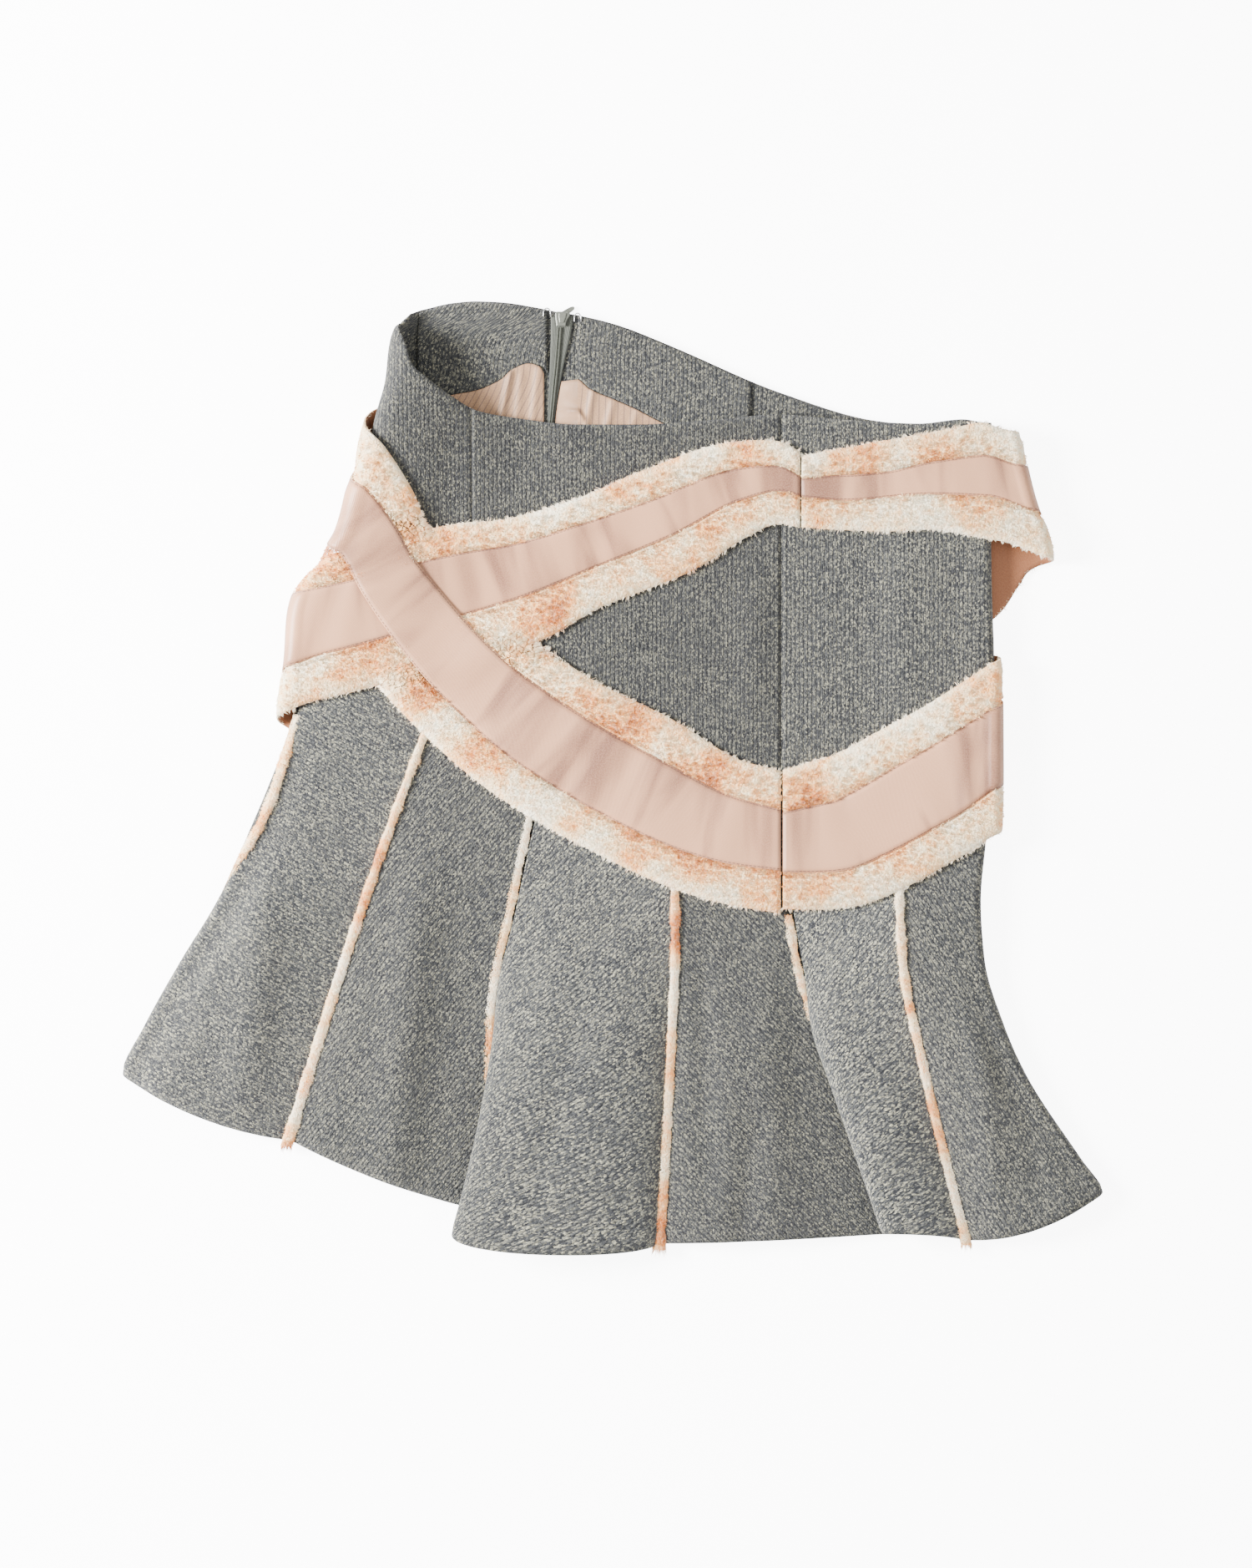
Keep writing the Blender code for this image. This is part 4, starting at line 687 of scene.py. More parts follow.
def edge_way(points):
    """For a grid of points, the way in mm from its nearer side, from its first row and from its last row."""
    along_row = np.linalg.norm(np.diff(points, axis=1), axis=-1) * 1000.0
    along_col = np.linalg.norm(np.diff(points, axis=0), axis=-1) * 1000.0
    s = np.concatenate([np.zeros((points.shape[0], 1)), np.cumsum(along_row, axis=1)], axis=1)
    t = np.concatenate([np.zeros((1, points.shape[1])), np.cumsum(along_col, axis=0)], axis=0)
    sides = np.minimum(s, s[:, -1:] - s)
    return np.stack([sides, t, t[-1:, :] - t], axis=-1)


def rounding(way, thickness_mm, edges):
    """How thick a sheet is near its free edges, so that they look rolled rather than cut square."""
    near = way[..., edges].min(axis=-1)
    share = np.clip(near / (thickness_mm * 0.9), 0.0, 1.0)
    return 0.3 + 0.7 * np.sqrt(1.0 - (1.0 - share) ** 2)


def grain(flat, turn_degrees):
    """The cloth's own coordinates in metres, turned to its grain."""
    turn = math.radians(turn_degrees)
    x, y = flat[..., 0] * UNIT_MM * 0.001, -flat[..., 1] * UNIT_MM * 0.001
    along = x * math.cos(turn) + y * math.sin(turn)
    return np.stack([along, y * math.cos(turn) - x * math.sin(turn)], axis=-1)


def settle(piece, node, body):
    """Ride a piece on its body, in the place of its CAD node if it has one."""
    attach(piece, body)
    if node:
        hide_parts(node)
    return piece


def declare(piece, middle):
    du = np.diff(middle, axis=1)
    dv = np.diff(middle, axis=0)
    width = float(np.linalg.norm(du, axis=-1).sum(axis=1).max())
    length = float(np.linalg.norm(dv, axis=-1).sum(axis=0).max())
    area = float(np.linalg.norm(np.cross(du[:-1], dv[:, :-1]), axis=-1).sum())
    area = min(max(area, LEAST_AREA_SHARE * width * length), width * length)


def cloth(name, middle, flat, turn_degrees, thickness_mm, materials, edges):
    """One panel of knitted cloth from the grid of its middle points."""
    way = edge_way(middle)
    offset = normals(middle) * (thickness_mm * 0.0005 * rounding(way, thickness_mm, edges))[..., None]
    thing = slab(f"{name}_cloth", middle - offset, middle + offset, grain(flat, turn_degrees), way, materials)
    settle(thing, name, "skirt")
    declare(thing, middle)
    return thing


def sampled(line):
    """A quick reading of a line that is a function of the place down."""
    downs = np.arange(340.0, 1110.0, 6.0)
    places = np.array([line(d) for d in downs])
    return lambda down: np.interp(down, downs, places)


def yoke_grid(left_line, right_line, rows, cols):
    """A grid from the waist to the yoke seam between two lines that are functions of the place down."""
    left_line, right_line = sampled(left_line), sampled(right_line)
    flat = np.zeros((rows, cols, 2))
    shares = fold_shares((left_line(600.0), 600.0), (right_line(600.0), 600.0), cols)
    steps = np.linspace(0.0, 1.0, rows)
    for c, u in enumerate(shares):
        downs = 480.0 + 420.0 * steps
        for _ in range(8):
            across = left_line(downs) + (right_line(downs) - left_line(downs)) * u
            top, bottom = waist(across[0]), yoke_seam(across[-1]) - SEAM_GAP
            downs = top + (bottom - top) * steps
        flat[:, c, 0] = left_line(downs) + (right_line(downs) - left_line(downs)) * u
        flat[:, c, 1] = downs
    return place(flat[..., 0], flat[..., 1], 0.0), flat


def build_yoke(knit):
    """Four panels: two fronts, and two backs open at the zip."""
    side = sampled(lambda down: unroll(RIGHT_SIDE_SEAM, down, False, True))
    panels = (
        ("hip_front_left", lambda down: LEFT_SIDE_SEAM - SIDE_LAP, lambda down: FRONT_CENTRE - CENTRE_GAP,
         ("lining_left_cloth",)),
        ("hip_front_right", lambda down: FRONT_CENTRE + CENTRE_GAP, side, ("lining_right_cloth",)),
        ("hip_back_left", lambda down: centre_back(down, False) + ZIP_HALF_SLOT, lambda down: LEFT_SIDE_SEAM,
         ("floor",)),
        ("hip_back_right", side, lambda down: centre_back(down, True) - ZIP_HALF_SLOT, ("floor",)),
    )
    for name, left_line, right_line, under in panels:
        middle, flat = yoke_grid(left_line, right_line, *YOKE_GRIDS[name])
        cloth(name, middle, flat, GRAIN_TURNS[name], WALL_MM, [knit(name)], [1])


def gore_grid(row, rows, cols):
    """A gore's middle points, with the fold and puff of its section."""
    left_seam, right_seam, lean_left, rise_left, lean_right, rise_right, lift, sag = row
    on_right = 6 <= left_seam < 11
    ends_on_right = right_seam >= 6
    starts, power, whole, covers, reach = GORE_FOLDS.get(left_seam, USUAL_FOLD)
    grid = np.zeros((rows, cols, 3))
    flat = np.zeros((rows, cols, 2))
    for r, t in enumerate(np.linspace(0.0, 1.0, rows)):
        ax, ay = seam_point(left_seam, t, on_right)
        bx, by = seam_point(right_seam, t, ends_on_right)
        over = float(smoothstep(covers, covers + 0.3, t))
        ax += PIPING_HALF + FOLD_CLEAR - reach * over if lift else SEAM_TUCK
        bx -= SEAM_TUCK
        puff = float(smoothstep(*PUFF_SPAN, t))
        fold = whole * float(np.clip((t - starts) / (1.0 - starts), 0.0, 1.0)) ** power
        wide = bx - ax
        u = fold_shares((ax, ay), (bx, by), cols)
        if lean_left:
            u = u ** 1.25
        c1 = ax + wide / 3.0 - lean_left / UNIT_MM * fold
        c2 = bx - wide / 3.0 + lean_right / UNIT_MM * fold
        b0, b1, b2, b3 = (1 - u) ** 3, 3 * u * (1 - u) ** 2, 3 * u * u * (1 - u), u ** 3
        across = ax * b0 + c1 * b1 + c2 * b2 + bx * b3
        down = ay + (by - ay) * u + sag * puff * 4 * u * (1 - u)
        if r == 0:
            down = yoke_seam(across) + SEAM_GAP
        rise = lift * max(fold, 0.7 * over) * (b0 + b1) + puff * (rise_left * b1 + rise_right * b2)
        left, right, r_left, _, r_right, _ = fold_lines(down)
        x = across * UNIT_MM
        front = (smoothstep(0.0, PUFF_FADE_MM, x - left - r_left)
                 * smoothstep(0.0, PUFF_FADE_MM, right - r_right - x))
        grid[r] = place(across, down, rise * front)
        flat[r, :, 0] = ax + wide * u
        flat[r, :, 1] = down
    return grid, flat


def build_gores(knit):
    """Twelve gores; those on the front have folds and puffs, those on the back lie flat."""
    for number, row in enumerate(GORES):
        name = f"gore_{number}"
        shaped = number < FRONT_GORES
        middle, flat = gore_grid(row, *(FRONT_GORE_GRID if shaped else BACK_GORE_GRID))
        cloth(name, middle, flat, GRAIN_TURNS[name], WALL_MM, [knit(name)], [2])


def pile_height(offsets):
    """How high the pile's backing stands at each place across a band: low under the ribbon."""
    heights = []
    for zone, share in offsets:
        from_edge = share if zone == 0 else 1.0 - share
        under_ribbon = zone == 1 or (zone == 0 and share > 0.95) or (zone == 2 and share < 0.05)
        heights.append(0.0 if under_ribbon else 0.35 + 0.65 * min(from_edge / 0.3, 1.0))
    return np.array(heights)


def build_base(name, table, folds, yields, plush, band_lining, **cuts):
    """A plush band's backing: lumpy cloth under the pile, lined on its inner side."""
    offsets = ([(0, s) for s in np.linspace(0.0, 0.97, 8)] + [(1, 0.2), (1, 0.5), (1, 0.8)]
               + [(2, s) for s in np.linspace(0.03, 1.0, 8)])
    flat = band_strip(table, folds, offsets, spacing=(7.0, 12.0, 3.0), **cuts)
    front = on_front(flat, *folds)
    x, y = flat[..., 0], flat[..., 1]
    lumps = 0.45 * np.sin(x / 3.1 + 2 * np.sin(y / 9.0)) * np.sin(y / 3.7 + 2 * np.sin(x / 11.0))
    pile = pile_height(offsets)
    high = BACK_SHEET_MM + (BASE_TOP_MM - BACK_SHEET_MM) * front + (0.9 + 0.9 * front + lumps) * pile
    if yields:
        high = high - 0.9 * pile * crossing_share(flat, True, 50.0, 60.0)
    loose = looseness(flat, folds)
    under = place(x, y, BASE_LOW_MM + loose, *folds)
    upper = place(x, y, high + loose, *folds)
    size = flat * UNIT_MM * 0.001
    way = edge_way(place(x, y, 2.0, *folds))
    thing = slab(f"{name}_plush", under, upper, size, way, [plush, band_lining])
    settle(thing, name, "skirt")
    return thing, (under + upper) / 2.0


def clumps(spots_mm, cell_mm, rng_seed):
    """The nearest of a set of scattered points for each spot, with a number that it shares."""
    cell = np.floor(spots_mm / cell_mm)
    best = np.full(len(spots_mm), 1e9)
    centre = np.zeros_like(spots_mm)
    number = np.zeros(len(spots_mm))
    for dx in (-1, 0, 1):
        for dy in (-1, 0, 1):
            corner = cell + (dx, dy)
            mix = np.sin(corner[:, 0] * 127.1 + corner[:, 1] * 311.7 + rng_seed) * 43758.5453
            other = np.sin(corner[:, 0] * 269.5 + corner[:, 1] * 183.3 + rng_seed) * 24634.6345
            mix, other = mix - np.floor(mix), other - np.floor(other)
            spot = (corner + np.stack([mix, other], axis=1)) * cell_mm
            away = np.hypot(*(spot - spots_mm).T)
            closer = away < best
            best = np.where(closer, away, best)
            centre = np.where(closer[:, None], spot, centre)
            number = np.where(closer, mix, number)
    return centre, number


def hairs(name, roots, tips, root_mm, tip_mm, folds, share, width_mm, materials, bend=0.5):
    """Tapered hairs from roots to tips in the unrolled plane, with heights above the cloth in mm."""
    middle = roots + (tips - roots) * bend * 0.8
    middle_mm = root_mm + (tip_mm - root_mm) * (0.55 + 0.25 * bend)
    low = place(roots[:, 0], roots[:, 1], root_mm, *folds)
    mid = place(middle[:, 0], middle[:, 1], middle_mm, *folds)
    top = place(tips[:, 0], tips[:, 1], tip_mm, *folds)
    out = place(roots[:, 0], roots[:, 1], root_mm + 1.0, *folds) - low
    out /= np.maximum(np.linalg.norm(out, axis=1, keepdims=True), 1e-9)
    run = top - low
    run /= np.maximum(np.linalg.norm(run, axis=1, keepdims=True), 1e-9)
    count = len(roots)
    spin = np.random.default_rng(count).uniform(-1.0, 1.0, (count, 3))
    side = np.cross(run, out + 0.5 * spin)
    side /= np.maximum(np.linalg.norm(side, axis=1, keepdims=True), 1e-9)
    half = (side.T * width_mm * 0.0005).T
    verts = np.stack([low - half, low + half, mid - half * 0.8, mid + half * 0.8, top], axis=1).reshape(-1, 3)
    verts[:, 2] = np.maximum(verts[:, 2], FLOOR_CLEAR_M)
    base = (np.arange(count) * 5)[:, None]
    faces = (base + (0, 1, 3, 2)).tolist() + (base + (2, 3, 4)).tolist()
    thing = mesh_from(name, verts, faces, materials)
    along = np.tile((0.0, 0.0, 0.55, 0.55, 1.0), count)
    add_map(thing, "Cut", np.stack([along, np.repeat(share, 5)], axis=1))
    soft = out * 0.9 + run * 0.5 + 0.3 * spin
    soft /= np.linalg.norm(soft, axis=1, keepdims=True)
    thing.data.normals_split_custom_set_from_vertices(np.repeat(soft, 5, axis=0).tolist())
    return thing


def scatter(flat, density, rng):
    """Random places on a strip of the unrolled plane: density is hairs in a square mm at each cell."""
    du = np.diff(flat, axis=1)[:-1] * UNIT_MM
    dv = np.diff(flat, axis=0)[:, :-1] * UNIT_MM
    area = np.abs(du[..., 0] * dv[..., 1] - du[..., 1] * dv[..., 0])
    weight = (area * density).ravel()
    count = int(weight.sum())
    pick = rng.choice(len(weight), count, p=weight / weight.sum())
    r, c = np.unravel_index(pick, area.shape)
    s, t = rng.random(count)[:, None], rng.random(count)[:, None]
    spot = (flat[r, c] * (1 - s) * (1 - t) + flat[r + 1, c] * s * (1 - t)
            + flat[r, c + 1] * (1 - s) * t + flat[r + 1, c + 1] * s * t)
    return spot, r + s[:, 0], (c + t[:, 0]) / (flat.shape[1] - 1)


def near_end(flat, end):
    """1 near the end of a strip where its pile meets the band that crosses it, 0 elsewhere."""
    middle = flat.mean(axis=1)
    away = np.linalg.norm(flat - middle[end], axis=-1)
    return 1.0 - smoothstep(*THICK_REACH, away)


def build_pile(name, table, folds, yields, pile, seed, **cuts):
    """The hairs of a plush band, leaning out from the ribbon and drawn together in small tufts."""
    rng = np.random.default_rng(seed)
    parts = []
    for zone, shares in ((0, np.linspace(1.0, 0.0, 5)), (2, np.linspace(0.0, 1.0, 5))):
        flat = band_strip(table, folds, [(zone, s) for s in shares], spacing=(9.0, 14.0, 4.0), **cuts)
        front = on_front(flat, *folds)[:-1, :-1]
        density = (BACK_HAIRS + (FRONT_HAIRS - BACK_HAIRS) * front) * HAIR_SHARE
        if yields:
            density = density * (1.0 - crossing_share(flat, True, 21.0, 25.0)[:-1, :-1])
        if name in THICK_END:
            thick = near_end(flat, THICK_END[name])
            density = density * (1.0 + THICK_MORE * thick[:-1, :-1])
        roots, station, share = scatter(flat, density, rng)
        out = flat[:, -1] - flat[:, 0]
        out /= np.linalg.norm(out, axis=1, keepdims=True)
        low = np.clip(station.astype(int), 0, len(out) - 1)
        parts.append((roots, out[low], share))
    roots, out, share = (np.concatenate(column) for column in zip(*parts))
    front = on_front(roots, *folds)
    count = len(roots)
    centre, number = clumps(roots * UNIT_MM, TUFT_MM, seed)
    pull = (centre / UNIT_MM - roots) * TUFT_PULL * rng.uniform(0.6, 1.1, count)[:, None]
    turn = (number - 0.5) * 2.4 + rng.normal(0.0, 0.3, count)
    lean = np.stack([out[:, 0] * np.cos(turn) - out[:, 1] * np.sin(turn),
                     out[:, 0] * np.sin(turn) + out[:, 1] * np.cos(turn)], axis=1)
    reach = 0.4 + 1.3 * smoothstep(0.0, 1.0, share) + smoothstep(0.85, 1.0, share) * number
    reach = reach / UNIT_MM
    reach = reach * rng.uniform(0.6, 1.15, count) - 0.4 / UNIT_MM * (share < 0.1)
    tips = roots + lean * reach[:, None] + pull
    loose = looseness(roots, folds)
    near_edge = smoothstep(0.0, 0.3, 1.0 - share)
    root_mm = 2.3 + 1.0 * front + 0.6 * near_edge + loose
    rise = (0.5 + 1.7 * front) * (0.45 + 0.55 * near_edge) * rng.uniform(0.5, 1.15, count)
    rise = rise * (0.75 + 0.5 * number)
    droop = smoothstep(0.84, 0.97, share) * rng.uniform(0.0, 1.0, count)
    root_mm = root_mm - 1.2 * droop
    rise = rise * (1.0 - droop) - droop
    highest = PLUSH_BACK_MM + loose + (PLUSH_FRONT_MM + 0.8 - PLUSH_BACK_MM) * front
    tip_mm = np.minimum(root_mm + rise, highest)
    tip_mm = np.maximum(tip_mm, WALL_MM / 2.0 + 0.1)
    thing = hairs(f"{name}_pile", roots, tips, root_mm, tip_mm, folds, share, HAIR_MM, [pile])
    settle(thing, None, "skirt")
    return thing


def build_ribbon(name, table, folds, climbs, satin, **cuts):
    """A satin ribbon over the middle of its band, with soft waves along it."""
    offsets = [(1, s) for s in np.linspace(0.0, 1.0, 13)]
    flat = band_strip(table, folds, offsets, spacing=(5.0, 12.0, 2.5), **cuts)
    front = on_front(flat, *folds)
    low = BACK_RIBBON_MM[0] + (RIBBON_LOW_MM - BACK_RIBBON_MM[0]) * front
    high = BACK_RIBBON_MM[1] + (RIBBON_TOP_MM - BACK_RIBBON_MM[1]) * front
    if climbs:
        climb = crossing_share(flat, False, 90.0, 130.0) * (1.1 + (CROSSING_LIFT_MM - 1.1) * front)
        low, high = low + climb, high + climb
    step = np.linalg.norm(np.diff(flat[:, 6], axis=0), axis=1) * UNIT_MM
    along = np.concatenate([[0.0], np.cumsum(step)])[:, None]
    share = np.array([s for _, s in offsets])[None, :]
    wave = 0.34 * np.sin(along / 5.9 + 1.5 * np.sin(along / 23.0) + 1.1 * share)
    wave = wave * np.sin(along / 31.0 + 0.7) ** 2
    wave = wave + 0.25 * np.sin(along / 13.0 + 2.0 * share)
    tuck = 0.5 * (1.0 - (2.0 * share - 1.0) ** 6)
    high = high + (wave + tuck - 0.5) * front
    low = np.minimum(low, high - 0.35)
    loose = looseness(flat, folds) * 1.5
    under = place(flat[..., 0], flat[..., 1], low + loose, *folds)
    upper = place(flat[..., 0], flat[..., 1], high + loose, *folds)
    width = np.linalg.norm(flat[:, -1] - flat[:, 0], axis=1)[:, None] * UNIT_MM * 0.001
    cut = np.stack(np.broadcast_arrays(along * 0.001, (share - 0.5) * width), axis=-1)
    way = edge_way(upper)
    thing = slab(f"{name}_satin", under, upper, cut, way, [satin])
    settle(thing, name, "skirt")
    return thing, (under + upper) / 2.0


def build_trim(plush, pile, satin, band_lining):
    """The low band, broken where the high band passes, then the high band, then the ribbons."""
    low = (LOW_LEFT_FOLD, LOW_RIGHT_FOLD)
    high = (HIGH_LEFT_FOLD, HIGH_RIGHT_FOLD)
    high_turns = ((0.25, -0.97), (-0.25, -0.97))
    ends = {"start": UPRIGHT, "end": UPRIGHT}
    along_high = {"turns": high_turns, **ends}
    left_cut, right_cut = (0.963, -0.27), (-0.866, -0.5)
    bases = (
        ("band_low_left_lower", LOW_LEFT, low, False, {"start": UPRIGHT, "end": left_cut, "last": 558.0}),
        ("band_low_left_upper", LOW_LEFT, low, False, {"start": left_cut, "end": UPRIGHT, "first": 435.0}),
        ("band_low_right_lower", LOW_RIGHT, low, False, {"start": UPRIGHT, "last": 1256.0}),
        ("band_low_right_upper", LOW_RIGHT, low, False,
         {"start": right_cut, "end": UPRIGHT, "first": 1430.0}),
        ("band_high_left", HIGH_LEFT, high, True, along_high),
        ("band_high_right", HIGH_RIGHT, high, True, along_high),
    )
    for seed, (name, table, folds, yields, cuts) in enumerate(bases):
        base, middle = build_base(name, table, folds, yields, plush, band_lining, **cuts)
        reach = {**cuts, **PILE_REACHES.get(name, {})}
        hair = build_pile(name, table, folds, yields, pile, seed + 11, **reach)
        declare(base, middle)
    ribbons = (
        ("ribbon_low_left", LOW_LEFT, low, True, ends, "band_low_left_lower_plush"),
        ("ribbon_low_right", LOW_RIGHT, low, True, ends, "band_low_right_lower_plush"),
        ("ribbon_high_left", HIGH_LEFT, high, False, along_high, "band_high_left_plush"),
        ("ribbon_high_right", HIGH_RIGHT, high, False, along_high, "band_high_right_plush"),
    )
    for name, table, folds, climbs, cuts, below in ribbons:
        ribbon, middle = build_ribbon(name, table, folds, climbs, satin, **cuts)
        declare(ribbon, middle)


def piping_path(index, count):
    """Points down a gore seam from under the trim to the hem, as in the CAD part."""
    start = PIPING_TOPS[index] - (HIGHER_BY if index in HIGHER_PIPINGS else 0.0)
    line = np.array([seam_point(index, float(v), 6 <= index < 12) for v in np.linspace(0.0, 1.0, count)])
    keep = line[:, 1] > start + 2.0
    first = (float(np.interp(start, line[:, 1], line[:, 0])), start)
    line = np.concatenate([[first], line[keep]])
    step = line[-1] - line[-2]
    line[-1] += step / np.linalg.norm(step) * TUFTS.get(index, -1.0)
    return line


def build_piping(index, plush, pile):
    """A plush cord in a gore seam, with its hairs standing out all round."""
    line = piping_path(index, PIPING_ROWS)
    left, right, r_left, _, r_right, _ = fold_lines(line[:, 1])
    x = line[:, 0] * UNIT_MM
    front = smoothstep(-0.6, 0.9, (x - left) / r_left) * smoothstep(-0.6, 0.9, (right - x) / r_right)
    under_fold = GORES[index - 1][6] > 0.0 if 0 < index < 7 else False
    tall = PIPING_BACK_MM + (PIPING_FRONT_MM - PIPING_BACK_MM) * front * (not under_fold)
    run = np.concatenate([[0.0], np.cumsum(np.linalg.norm(np.diff(line, axis=0), axis=1))]) * UNIT_MM
    slant = np.gradient(line[:, 0]) / np.gradient(line[:, 1])
    twist = 0.85 + 0.15 * np.sin(run / 1.9 + index) * np.sin(run / 3.1)
    swell = 1.0 + PIPING_SWELL[index] * run / run[-1]
    half = PIPING_WIDE[index] / np.sqrt(1.0 + slant ** 2) * twist * swell
    grid = np.zeros((len(line), ROUND_SIDES, 3))
    floor = -WALL_MM / 2.0 + 0.7 * front
    for k in range(ROUND_SIDES):
        angle = 2.0 * math.pi * k / ROUND_SIDES
        rise = floor + tall * 0.8 * (0.5 + 0.5 * math.sin(angle)) * twist
        grid[:, k] = place(line[:, 0] + half * math.cos(angle), line[:, 1], rise)
    cord = mesh_from(f"piping_{index}_cord", grid.reshape(-1, 3), bar_faces(len(line)), [plush])
    around = np.tile(np.arange(ROUND_SIDES) / ROUND_SIDES, len(line))
    add_map(cord, "Cut", np.stack([np.repeat(run, ROUND_SIDES) * 0.001, around], axis=1))
    settle(cord, f"piping_{index}", "skirt")
    rng = np.random.default_rng(index + 40)
    density = (8.0 + 26.0 * float(front.mean())) * HAIR_SHARE
    count = int(run[-1] * density)
    at = rng.uniform(0.0, run[-1], count)
    angle = rng.uniform(0.05, math.pi - 0.05, count)
    spot = np.stack([np.interp(at, run, line[:, k]) for k in range(2)], axis=1)
    wide = np.interp(at, run, half)
    high = np.interp(at, run, tall)
    tuft = np.sin(at / 1.7 + 2.0 * np.sin(at / 5.0) + index)
    longer = rng.uniform(0.5, 1.2, count) * (1.0 + 0.25 * tuft)
    out = (0.5 + 0.8 * np.interp(at, run, front)) * longer * (1.0 + 0.3 * np.sin(at / 4.3 + index)) / UNIT_MM
    slide = (rng.normal(0.3, 0.7, count) + 0.5 * tuft) / UNIT_MM
    ends = smoothstep(run[-1] - 4.0, run[-1], at) * (index in TUFTS) * 5.5 / UNIT_MM
    ends = ends * rng.uniform(0.1, 1.0, count)
    roots = spot + np.stack([wide * 0.8 * np.cos(angle), np.zeros(count)], axis=1)
    tips = roots + np.stack([out * np.cos(angle), slide + ends], axis=1)
    root_mm = np.interp(at, run, floor) + high * (0.4 + 0.35 * np.sin(angle))
    tip_mm = root_mm + high * 0.25 * np.sin(angle) * longer - ends * 0.1
    shares = 0.62 + 0.34 * np.sin(at / 15.0 + index * 2.3 + np.sin(at / 7.0))
    hair = hairs(f"piping_{index}_pile", roots, tips, root_mm, tip_mm, (), shares, HAIR_MM, [pile])
    settle(hair, None, "skirt")


def inner_grid(xs, tops, bottoms, rows, edge=None):
    """Unrolled places of a sheet on the inner back, from where it is seen. edge is its first column."""
    flat = np.zeros((rows, len(xs), 2))
    for r, v in enumerate(np.linspace(0.0, 1.0, rows)):
        down = tops + (bottoms - tops) * v
        for c, x in enumerate(xs):
            if c == 0 and edge is not None:
                x = edge(down[c])
            flat[r, c] = unroll(float(x), float(down[c]), False, x > INNER_MIDDLE), down[c]
    return flat


def inner_cloth(name, flat, heights, material, thickness_mm):
    """A sheet on the inner back at heights above the back's middle in mm."""
    middle = place(flat[..., 0], flat[..., 1], -heights)
    way = edge_way(middle)
    half = thickness_mm / 2.0 * rounding(way, thickness_mm, [0, 1, 2])
    under = place(flat[..., 0], flat[..., 1], -heights + half)
    upper = place(flat[..., 0], flat[..., 1], -heights - half)
    thing = slab(f"{name}_cloth", under, upper, grain(flat, 0.0), way, [material])
    settle(thing, name, "skirt")
    declare(thing, middle)


def build_waist_inside(knit, lining):
    """Facing and lining on the inner back, each side of the zip tape."""
    tape = columns(ZIP_TAPE)
    left = np.linspace(500.0, 655.0, 70)
    right = np.concatenate([np.linspace(692.0, 790.0, 50), np.linspace(793.0, 900.0, 20)])
    edge_left = follow(*columns(FACING_EDGE), left)
    middle_mm = (INNER_LOW_MM + INNER_HIGH_MM) / 2.0
    for name, xs, edge in (("facing_left", left, edge_left),
                           ("facing_right", right, follow(*columns(FACING_EDGE_RIGHT), right))):
        flat = inner_grid(xs, back_waist(xs) + 2.0, edge, 36)
        inner_cloth(name, flat, np.full(flat.shape[:2], middle_mm + 0.1), knit, FACING_MM)
    from_tape = np.concatenate([[675.0], right])
    sheets = (
        ("lining_left", left - (left - 500.0) * 0.02, edge_left + 1.0, None),
        ("lining_right", from_tape, follow(*columns(FACING_EDGE_RIGHT), from_tape) + 1.0,
         lambda down: float(follow(tape[0], tape[2], down)) + 1.0),
    )
    for name, xs, tops, edge in sheets:
        flat = inner_grid(xs, tops, np.full(len(xs), LINING_END), 50, edge)
        seen = np.broadcast_to(xs, flat.shape[:2])
        heights = middle_mm + ridges(LINING_PLEATS, seen, flat[..., 1], -0.15, 0.1)
        inner_cloth(name, flat, heights, lining, LINING_MM)


def zip_grid(downs, edges, height_mm):
    """Points on the inner back between two edges as seen."""
    grid = np.zeros((len(downs), len(edges(downs[0])), 3))
    for r, down in enumerate(downs):
        for c, x in enumerate(edges(down)):
            grid[r, c] = flat_point(float(x), float(down), height_mm(r, c))
    return grid


def plain_cut(across, along):
    """The own places of a straight strip's points, in metres."""
    return np.stack(np.broadcast_arrays(across[None, :], along[:, None]), axis=-1)


